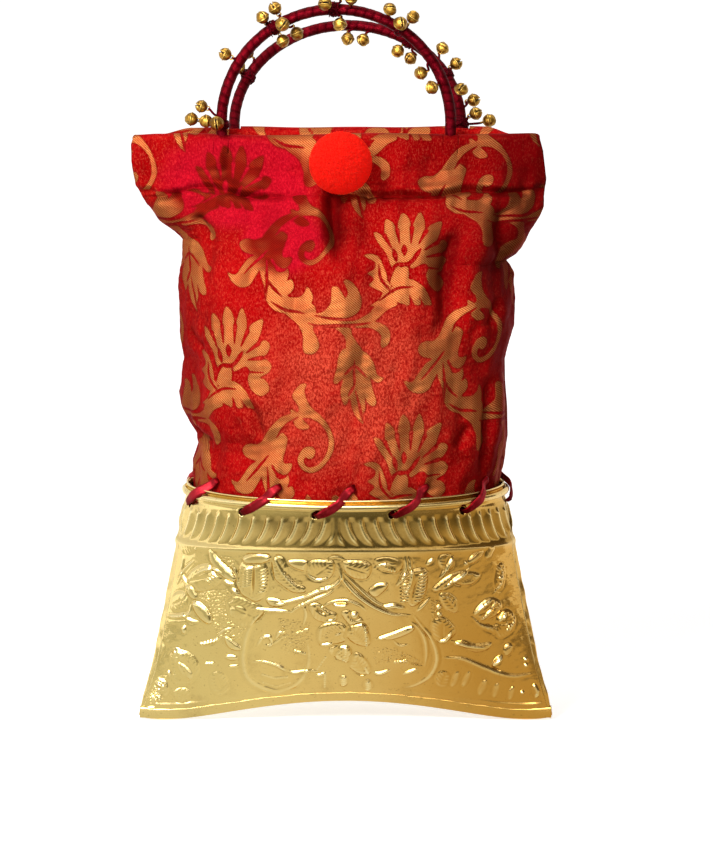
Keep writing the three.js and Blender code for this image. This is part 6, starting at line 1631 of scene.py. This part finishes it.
def bell_mesh():
    """A small round bell: two domes pressed together at a ridge, a slit with raised lips, a loop and a pellet."""
    heap = Heap()
    nt, nf = 44, 56
    th = np.linspace(0.0, np.pi, nt)  # from the loop end to the slit end
    fi = np.arange(nf) * 2 * np.pi / nf
    T_, F_ = np.meshgrid(th, fi, indexing="ij")
    r = np.full(T_.shape, 2.82)
    ridge = np.exp(-(((T_ - np.pi / 2) / 0.075) ** 2))
    r = r + 0.36 * ridge
    r = r * (1 + 0.012 * np.sin(5 * F_ + 1) * np.sin(T_) ** 2 + 0.014 * np.cos(3 * F_ + 2.0))
    # slit runs across the far end: distance from the plane x = 0, on that end only
    X = np.sin(T_) * np.cos(F_)
    low = smoothstep(1.86, 2.12, T_)
    d = np.abs(X) * 2.8
    lip = np.exp(-(((d - 0.52) / 0.2) ** 2)) * low
    cut_ = smoothstep(0.42, 0.22, d) * low
    ends = np.exp(-((np.hypot(d, (T_ - 2.0) * 2.8) / 0.5) ** 2))
    r = r + 0.26 * lip - 1.1 * cut_ - 0.7 * ends
    P = np.stack([r * X, r * np.sin(T_) * np.sin(F_), r * np.cos(T_)], -1)
    F = grid_faces(nt, nf, True)
    fn = np.cross(P[10, 1] - P[10, 0], P[11, 0] - P[10, 0])
    if fn @ P[10, 0] < 0:
        F = F[:, ::-1]
    F = [list(q) for q in F]
    # painted shade: dark in the slit dent and at its ends, and in a groove each side of the ridge
    hollow = np.clip(cut_ + ends * 0.9, 0, 1)
    groove = 0.35 * np.exp(-(((np.abs(T_ - np.pi / 2) - 0.16) / 0.06) ** 2))
    heap.add(P.reshape(-1, 3), F, None, hollow=np.maximum(hollow, groove).ravel(), edge=np.clip(0.7 * ridge + 0.8 * lip, 0, 1).ravel())
    a = np.linspace(0, 2 * np.pi, 15)[:-1]
    ring = np.stack([0.95 * np.cos(a), 0 * a, 3.15 + 0.75 * np.sin(a)], -1)
    m = 8
    b = np.arange(m) * 2 * np.pi / m
    out = unit(np.stack([np.cos(a), 0 * a, np.sin(a)], -1))
    Pr = ring[:, None] + 0.27 * (np.cos(b)[None, :, None] * out[:, None] + np.sin(b)[None, :, None] * np.array([0, 1.0, 0]))
    Fr = grid_faces(15, m, True) % (14 * m)
    heap.add(Pr.reshape(-1, 3), [list(q)[::-1] for q in Fr], None, hollow=0.05, edge=0.35)
    # the pellet, seen through the slit
    t2 = np.linspace(0, np.pi, 12)
    f2 = np.arange(14) * 2 * np.pi / 14
    A, B = np.meshgrid(t2, f2, indexing="ij")
    rr = 0.8 + 0.04 * np.sin(3 * B + 2 * A)
    Pp = np.stack([rr * np.sin(A) * np.cos(B), 0.5 + rr * np.sin(A) * np.sin(B), -1.55 + rr * np.cos(A) * 0.85], -1)
    # the pellet carries painted shade
    heap.add(Pp.reshape(-1, 3), [list(q)[::-1] for q in grid_faces(12, 14, True)], None, hollow=0.5)
    return heap


FRONT_BELLS = [(-26.17, 0.19, 58.96), (-31.43, -2.02, 55.29), (-22.79, -6.76, 53.07), (-22.85, -0.64, 45.09), (-16.84, 0.05, 48.18),
               (-4.69, -5.75, 61.94), (6.57, -3.70, 63.77), (1.73, -3.57, 52.71), (1.52, 0.54, 65.34), (23.13, -3.65, 59.15),
               (27.68, -6.12, 53.46), (33.00, 0.00, 55.00), (36.70, -0.03, 30.85), (41.27, -4.45, 25.37), (-47.66, 0.00, 39.06),
               (-58.16, 0.30, 16.29), (-62.47, 0.59, 10.68), (-56.09, -1.57, 10.11), (-51.39, -6.49, 10.02)]
BACK_BELLS = [(-0.04, 0.00, 51.67), (6.74, 0.00, 51.15), (22.07, 0.02, 45.50), (27.60, -0.31, 41.55), (41.72, 0.01, 46.76),
              (47.68, 0.01, 39.02), (-44.04, -2.94, 42.90), (-47.83, -5.04, 34.26), (55.15, 0.00, 20.66), (49.61, -6.53, 22.40),
              (55.90, -1.99, 12.84), (61.75, 0.68, 10.73)]
FRONT_TIES = [("front_top_left", -27, 50.5), ("front_top", -1, 58), ("front_top_right", 27.5, 50), ("front_left_corner", -49.5, 8.2)]
BACK_TIES = [("back_upper_right", 27, 50), ("back_right", 43, 33), ("back_left", -43.5, 32), ("back_right_corner", 49.5, 8.4)]
# Bells whose slit is seen from the front, with a further turn for each; nothing reads this table.
OPEN_FRONT = {9: 0.9, 7: 1.1}


def make_bells(side, bells, ties):
    put, R = handle_frame(side)
    source = bell_mesh()
    pts = np.concatenate(source.p)
    ccl = np.concatenate(source.v["hollow"])
    edg = np.concatenate(source.v["edge"])
    rng = np.random.default_rng(41 if side == "front" else 43)
    threads = Heap()
    tie_a = [nearest_arch(x, h) for _, x, h in ties]
    for i, (x, y, h) in enumerate(bells):
        c = np.array([x, y, h])
        a0 = nearest_arch(x, h)
        mid = arch_at(a0)
        up = unit(mid - c)
        spin = rng.uniform(0, 2 * np.pi)
        tilt = rng.normal(0, 0.28, 3)
        z = unit(up + tilt * 0.6)
        xx = unit(np.cross(z, [0.3, 1.0, 0.1]))
        yy = np.cross(z, xx)
        M = np.stack([math.cos(spin) * xx + math.sin(spin) * yy, -math.sin(spin) * xx + math.cos(spin) * yy, z], -1)
        q = pts @ M.T * rng.uniform(0.96, 1.02) + c
        ob = new_piece(f"ghungroo_{side}_{i + 1:02d}", put(q), source.f, MAT_BELL, {"hollow": ccl, "edge": edg})
        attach(ob, f"handle_{side}")
        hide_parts(f"bell_{side}_{i + 1:02d}")
        # its thread: from the loop, up to the winding nearest it
        k = int(np.argmin([abs(a0 - t) for t in tie_a]))
        aim_a = a0 + np.clip(tie_a[k] - a0, -5.0, 5.0)
        rod = arch_at(aim_a)
        loop = c + z * 3.4
        on = rod + unit(loop - rod) * 2.5
        sway = rng.normal(0, 0.5, 3)
        path = spline([c + z * 3.2, loop + z * 0.3 + sway * 0.3, (loop + on) / 2 + sway + np.array([0, -0.3, 0]), on, rod + unit(on - rod) * 1.6], 6)
        p, f, uv = tube(path, 0.55, 8)
        threads.add(put(p), f, uv)
    for (name, x, h), a0 in zip(ties, tie_a):
        heap = Heap()
        turns, n = 5, 150
        u = np.linspace(0, 1, n)
        ang = 2 * np.pi * turns * u + 0.4
        a = a0 + (u - 0.5) * 3.4 + 0.25 * np.sin(ang * 2.3)
        c = arch_at(a)
        t = unit(arch_at(a + 0.2) - arch_at(a - 0.2))
        nn = np.cross(t, np.array([0, 1.0, 0]))
        rr = 2.75 + 0.25 * np.sin(u * np.pi) + 0.12 * np.sin(ang * 1.7)
        path = c + rr[:, None] * (np.cos(ang)[:, None] * nn + np.sin(ang)[:, None] * np.array([0, 1.0, 0]))
        p, f, uv = tube(path, 0.42, 8)
        heap.add(put(p), f, uv)
        # the knot on the front of the winding and its two cut ends
        c0 = arch_at(a0)
        k0 = c0 + np.array([0, -3.35, 0])
        uu = np.linspace(0, 2 * np.pi, 60)
        g = 0.95
        tt = unit(arch_at(a0 + 0.2) - arch_at(a0 - 0.2))
        n3 = np.cross(tt, np.array([0, 1.0, 0]))
        kn = k0 + g * ((np.sin(uu) + 2 * np.sin(2 * uu))[:, None] * tt * 0.34 + (np.cos(uu) - 2 * np.cos(2 * uu))[:, None] * n3 * 0.34 + (-np.sin(3 * uu))[:, None] * np.array([0, 0.42, 0]))
        p, f, uv = tube(kn, 0.42, 8)
        heap.add(put(p), f, uv)
        for sgn in (-1, 1):
            e = spline([k0, k0 + tt * sgn * 0.9 + np.array([0, -0.5, 0]), k0 + tt * sgn * 1.7 - n3 * 1.2 + np.array([0, -0.5, 0]), k0 + tt * sgn * 2.0 - n3 * 2.8], 6)
            p, f, uv = tube(e, np.linspace(0.36, 0.22, len(e)), 7)
            heap.add(put(p), f, uv)
        ob = heap.piece(f"winding_{name}", MAT_THREAD)
        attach(ob, f"handle_{side}")
        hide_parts(f"thread_tie_{name}")
    ob = threads.piece(f"bell_threads_{side}", MAT_THREAD)
    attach(ob, f"handle_{side}")


for side_, bells_, ties_ in (("front", FRONT_BELLS, FRONT_TIES), ("back", BACK_BELLS, BACK_TIES)):
    make_wrap(side_)
    make_bells(side_, bells_, ties_)
    NODES[f"handle_core_{side_}"].data.materials.clear()
    NODES[f"handle_core_{side_}"].data.materials.append(MAT_CANE)
    NODES[f"magnet_{side_}"].data.materials.clear()
    NODES[f"magnet_{side_}"].data.materials.append(MAT_STEEL)


# --------------------------------------------------------------------- pompom
def make_pompom():
    lo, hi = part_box("pompom")
    c = (np.array(lo) + np.array(hi)) / 2 * 1000
    c[2] += CARRY
    rad = (np.array(hi) - np.array(lo)) / 2 * 1000
    rng = np.random.default_rng(77)
    n = 5200
    i = np.arange(n) + 0.5
    ph = np.arccos(1 - 2 * i / n)
    th = np.pi * (1 + 5**0.5) * i
    d = np.stack([np.cos(th) * np.sin(ph), np.sin(th) * np.sin(ph), np.cos(ph)], -1)
    d = unit(d + rng.normal(0, 0.03, d.shape))
    heap = Heap()
    # felted body
    T_, F_ = np.meshgrid(np.linspace(0, np.pi, 60), np.arange(90) * 2 * np.pi / 90, indexing="ij")
    D = np.stack([np.sin(T_) * np.cos(F_), np.sin(T_) * np.sin(F_), np.cos(T_)], -1)

    def lump(v):
        return 1 + 0.016 * ripple(v[..., 0] * 10 + v[..., 2] * 4, v[..., 1] * 10 - v[..., 2] * 6, 81, 7.0) + 0.02 * np.sin(v[..., 0] * 3 + 1) * v[..., 2]

    P = c + D * (rad * 0.93) * lump(D)[..., None] * (1 + 0.012 * ripple(F_ * 12, T_ * 12, 83, 1.6)[..., None])
    F = grid_faces(60, 90, True)
    fn = np.cross(P[20, 1] - P[20, 0], P[21, 0] - P[20, 0])
    if fn @ D[20, 0] < 0:
        F = F[:, ::-1]
    heap.add(P.reshape(-1, 3), [list(q) for q in F], None, tip=0.35)
    # short strands, bent over at their ends
    side = unit(np.cross(d, rng.normal(0, 1, d.shape)))
    other = np.cross(d, side)
    L = rng.uniform(1.5, 2.6, n)
    sway = rng.normal(0, 0.55, (n, 2))
    base = c + d * rad * 0.89 * lump(d)[:, None]
    m = 4
    pts = []
    for j in range(m + 1):
        u = j / m
        ctr = base + d * (L * u)[:, None] + (side * sway[:, [0]] + other * sway[:, [1]]) * u * u
        r = 0.30 * (1 - u) ** 0.6 + 0.03
        for k in range(3):
            a = 2 * np.pi * k / 3
            pts.append(ctr + r * (math.cos(a) * side + math.sin(a) * other))
    Q = np.stack(pts, 1)  # n, (m+1)*3, 3
    lim = np.array(rad) * 1.03
    rel = (Q - c) / lim
    far = np.linalg.norm(rel, axis=-1, keepdims=True)
    Q = c + (Q - c) / np.maximum(far, 1.0)
    k = (m + 1) * 3
    one = []
    for j in range(m):
        for q in range(3):
            one.append((j * 3 + q, j * 3 + (q + 1) % 3, (j + 1) * 3 + (q + 1) % 3, (j + 1) * 3 + q))
    faces = (np.array(one)[None] + (np.arange(n) * k)[:, None, None]).reshape(-1, 4)
    tips = (np.arange(n) * k)[:, None] + np.array([m * 3, m * 3 + 1, m * 3 + 2])[None]
    # painted shade: each strand darker towards its root
    tipv = np.tile(np.repeat(np.linspace(0.15, 1.0, m + 1), 3), n)
    heap.add(Q.reshape(-1, 3), [list(q) for q in faces] + [list(q) for q in tips], None, tip=tipv)
    ob = heap.piece("felt_pompom", MAT_WOOL)
    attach(ob, "mouth_front")
    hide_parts("pompom")


make_pompom()


# ------------------------------------------------------- floor, light and camera
def stage_material():
    p = Paint("studio_floor")
    o = p.obj()
    r = p.node("VectorMath", {0: o}, out="Value", operation="LENGTH")
    p.set(Base_Color=p.mix(p.noise(o, 6.0, 2.0), (0.88, 0.88, 0.88), (0.92, 0.92, 0.92)), Roughness=0.75, Emission_Color=(1.0, 1.0, 1.0, 1),
          Emission_Strength=p.range(r, 0.4, 1.5, 0.66, 1.02), Normal=p.bump(p.noise(o, 700.0, 2.0), 0.04, 0.0004), Specular_IOR_Level=0.2)
    return p.mat


def make_stage():
    """A pale floor that turns up far away on every side, so the bag can be seen from anywhere."""
    z = -CARRY / 1000 - 0.0002
    prof = [(0.0, z), (0.5, z), (1.5, z), (3.0, z)] + [(4.0 + 1.2 * math.sin(a), z + 1.2 - 1.2 * math.cos(a)) for a in np.linspace(0, math.pi / 2, 11)] + [(5.2, 5.0)]
    n = 64
    v = [(r * math.cos(2 * math.pi * k / n), r * math.sin(2 * math.pi * k / n), h) for r, h in prof[1:] for k in range(n)] + [(0.0, 0.0, z)]
    f = [(i * n + k, i * n + (k + 1) % n, (i + 1) * n + (k + 1) % n, (i + 1) * n + k) for i in range(len(prof) - 2) for k in range(n)]
    f += [(len(v) - 1, k, (k + 1) % n) for k in range(n)]
    me = bpy.data.meshes.new("studio_floor")
    me.from_pydata(v, [], [q[::-1] for q in f[:-n]] + f[-n:])
    me.polygons.foreach_set("use_smooth", [True] * len(f))
    me.materials.append(stage_material())
    ob = bpy.data.objects.new("studio_floor", me)
    scene.collection.objects.link(ob)
    ob.visible_diffuse = False


def softbox(name, at, aim, size, power, colour=(1, 1, 1), spread=None):
    lamp = bpy.data.lights.new(name, "AREA")
    lamp.shape = "RECTANGLE"
    lamp.size, lamp.size_y = size
    lamp.energy = power
    lamp.color = colour
    if spread:
        lamp.spread = math.radians(spread)
    ob = bpy.data.objects.new(name, lamp)
    scene.collection.objects.link(ob)
    ob.location = at
    ob.rotation_mode = "QUATERNION"
    ob.rotation_quaternion = (Vector(aim) - Vector(at)).to_track_quat("-Z", "Y")
    return ob


def reflector(name, corners, paint):
    """A card seen only in reflections; paint(p) returns its colour and strength."""
    p = Paint(name)
    colour, strength = paint(p)
    p.set(Base_Color=(0.01, 0.01, 0.01), Roughness=1.0, Specular_IOR_Level=0.0, Emission_Color=colour, Emission_Strength=strength)
    me = bpy.data.meshes.new(name)
    me.from_pydata(corners, [], [(0, 1, 2, 3)])
    me.materials.append(p.mat)
    ob = bpy.data.objects.new(name, me)
    scene.collection.objects.link(ob)
    ob.visible_camera = ob.visible_shadow = ob.visible_diffuse = False


def bright_card(name, corners, power):
    reflector(name, corners, lambda p: (p.mix(p.noise(p.obj(), 2.0, 2.0), (1.0, 0.97, 0.9), (0.9, 0.88, 0.84)), power))


def floor_card():
    """Painted reflection: a glowing card on the floor in front of the bag, seen only in reflections; the brass leans
    over it and mirrors its tones, which darken to the right and further out.
    """
    def paint(p):
        s = p.t.nodes.new("ShaderNodeSeparateXYZ")
        p.put(s.inputs[0], p.obj())
        x, y = s.outputs[0], s.outputs[1]
        right = p.range(x, -0.13, 0.13)
        far = p.range(y, -0.070, -0.105)
        near_ = p.mix(p.range(x, -0.075, -0.02), (0.87, 0.84, 0.68), (1.0, 0.96, 0.78))
        near_ = p.mix(p.range(x, 0.02, 0.07), near_, (0.82, 0.70, 0.42))
        away = p.mix(right, (0.58, 0.57, 0.42), (0.32, 0.27, 0.16))
        dark = p.range(p.m("ABSOLUTE", p.m("SUBTRACT", x, 0.022)), 0.095, 0.025)
        away = p.mix(dark, away, (0.17, 0.16, 0.10))
        tone = p.mix(far, near_, away)
        return p.mix(p.range(y, -0.24, -0.30), tone, (1.0, 1.0, 0.97)), 1.0
    z = -CARRY / 1000 + 0.0006
    reflector("card_floor", [(-0.34, -0.31, z), (0.34, -0.31, z), (0.34, 0.04, z), (-0.34, 0.04, z)], paint)


make_stage()
bright_card("card_window", [(-1.1, -1.25, -0.06), (0.3, -1.25, -0.06), (0.3, -1.25, 0.45), (-1.1, -1.25, 0.45)], 13.0)
floor_card()
reflector("card_right", [(0.95, -2.0, -0.31), (0.95, 0.3, -0.31), (0.95, 0.3, 0.8), (0.95, -2.0, 0.8)],
          lambda p: (p.mix(p.noise(p.obj(), 2.0, 2.0), (0.9, 0.7, 0.42), (0.8, 0.62, 0.36)), 0.22))
softbox("key", (-0.75, -1.0, 0.75), (0, 0, -0.2), (0.5, 0.5), 19.5, (1.0, 0.97, 0.92))
softbox("fill", (1.1, -1.2, 0.25), (0, 0, -0.2), (0.8, 0.9), 1.2, (1.0, 0.97, 0.94))
softbox("top", (0.0, 0.1, 1.0), (0, 0, -0.2), (0.9, 0.5), 6.0, (1.0, 1.0, 1.0))
world = bpy.data.worlds.new("studio")
scene.world = world
world.use_nodes = True
wt = world.node_tree
wt.nodes["Background"].inputs[0].default_value = (1.0, 0.985, 0.96, 1)
wt.nodes["Background"].inputs[1].default_value = 0.55
world.cycles_visibility.diffuse = False
scene.view_settings.view_transform = "Standard"

cam_data = bpy.data.cameras.new("camera")
cam_data.sensor_width = 36.0
cam_data.lens = 152.9
cam_data.clip_start, cam_data.clip_end = 0.05, 20.0
camera = bpy.data.objects.new("camera", cam_data)
scene.collection.objects.link(camera)
camera.location = (0.00484, -1.6, (402.87 - CARRY) / 1000)
camera.rotation_euler = (math.pi / 2 - 0.1695, 0, 0)
scene.camera = camera
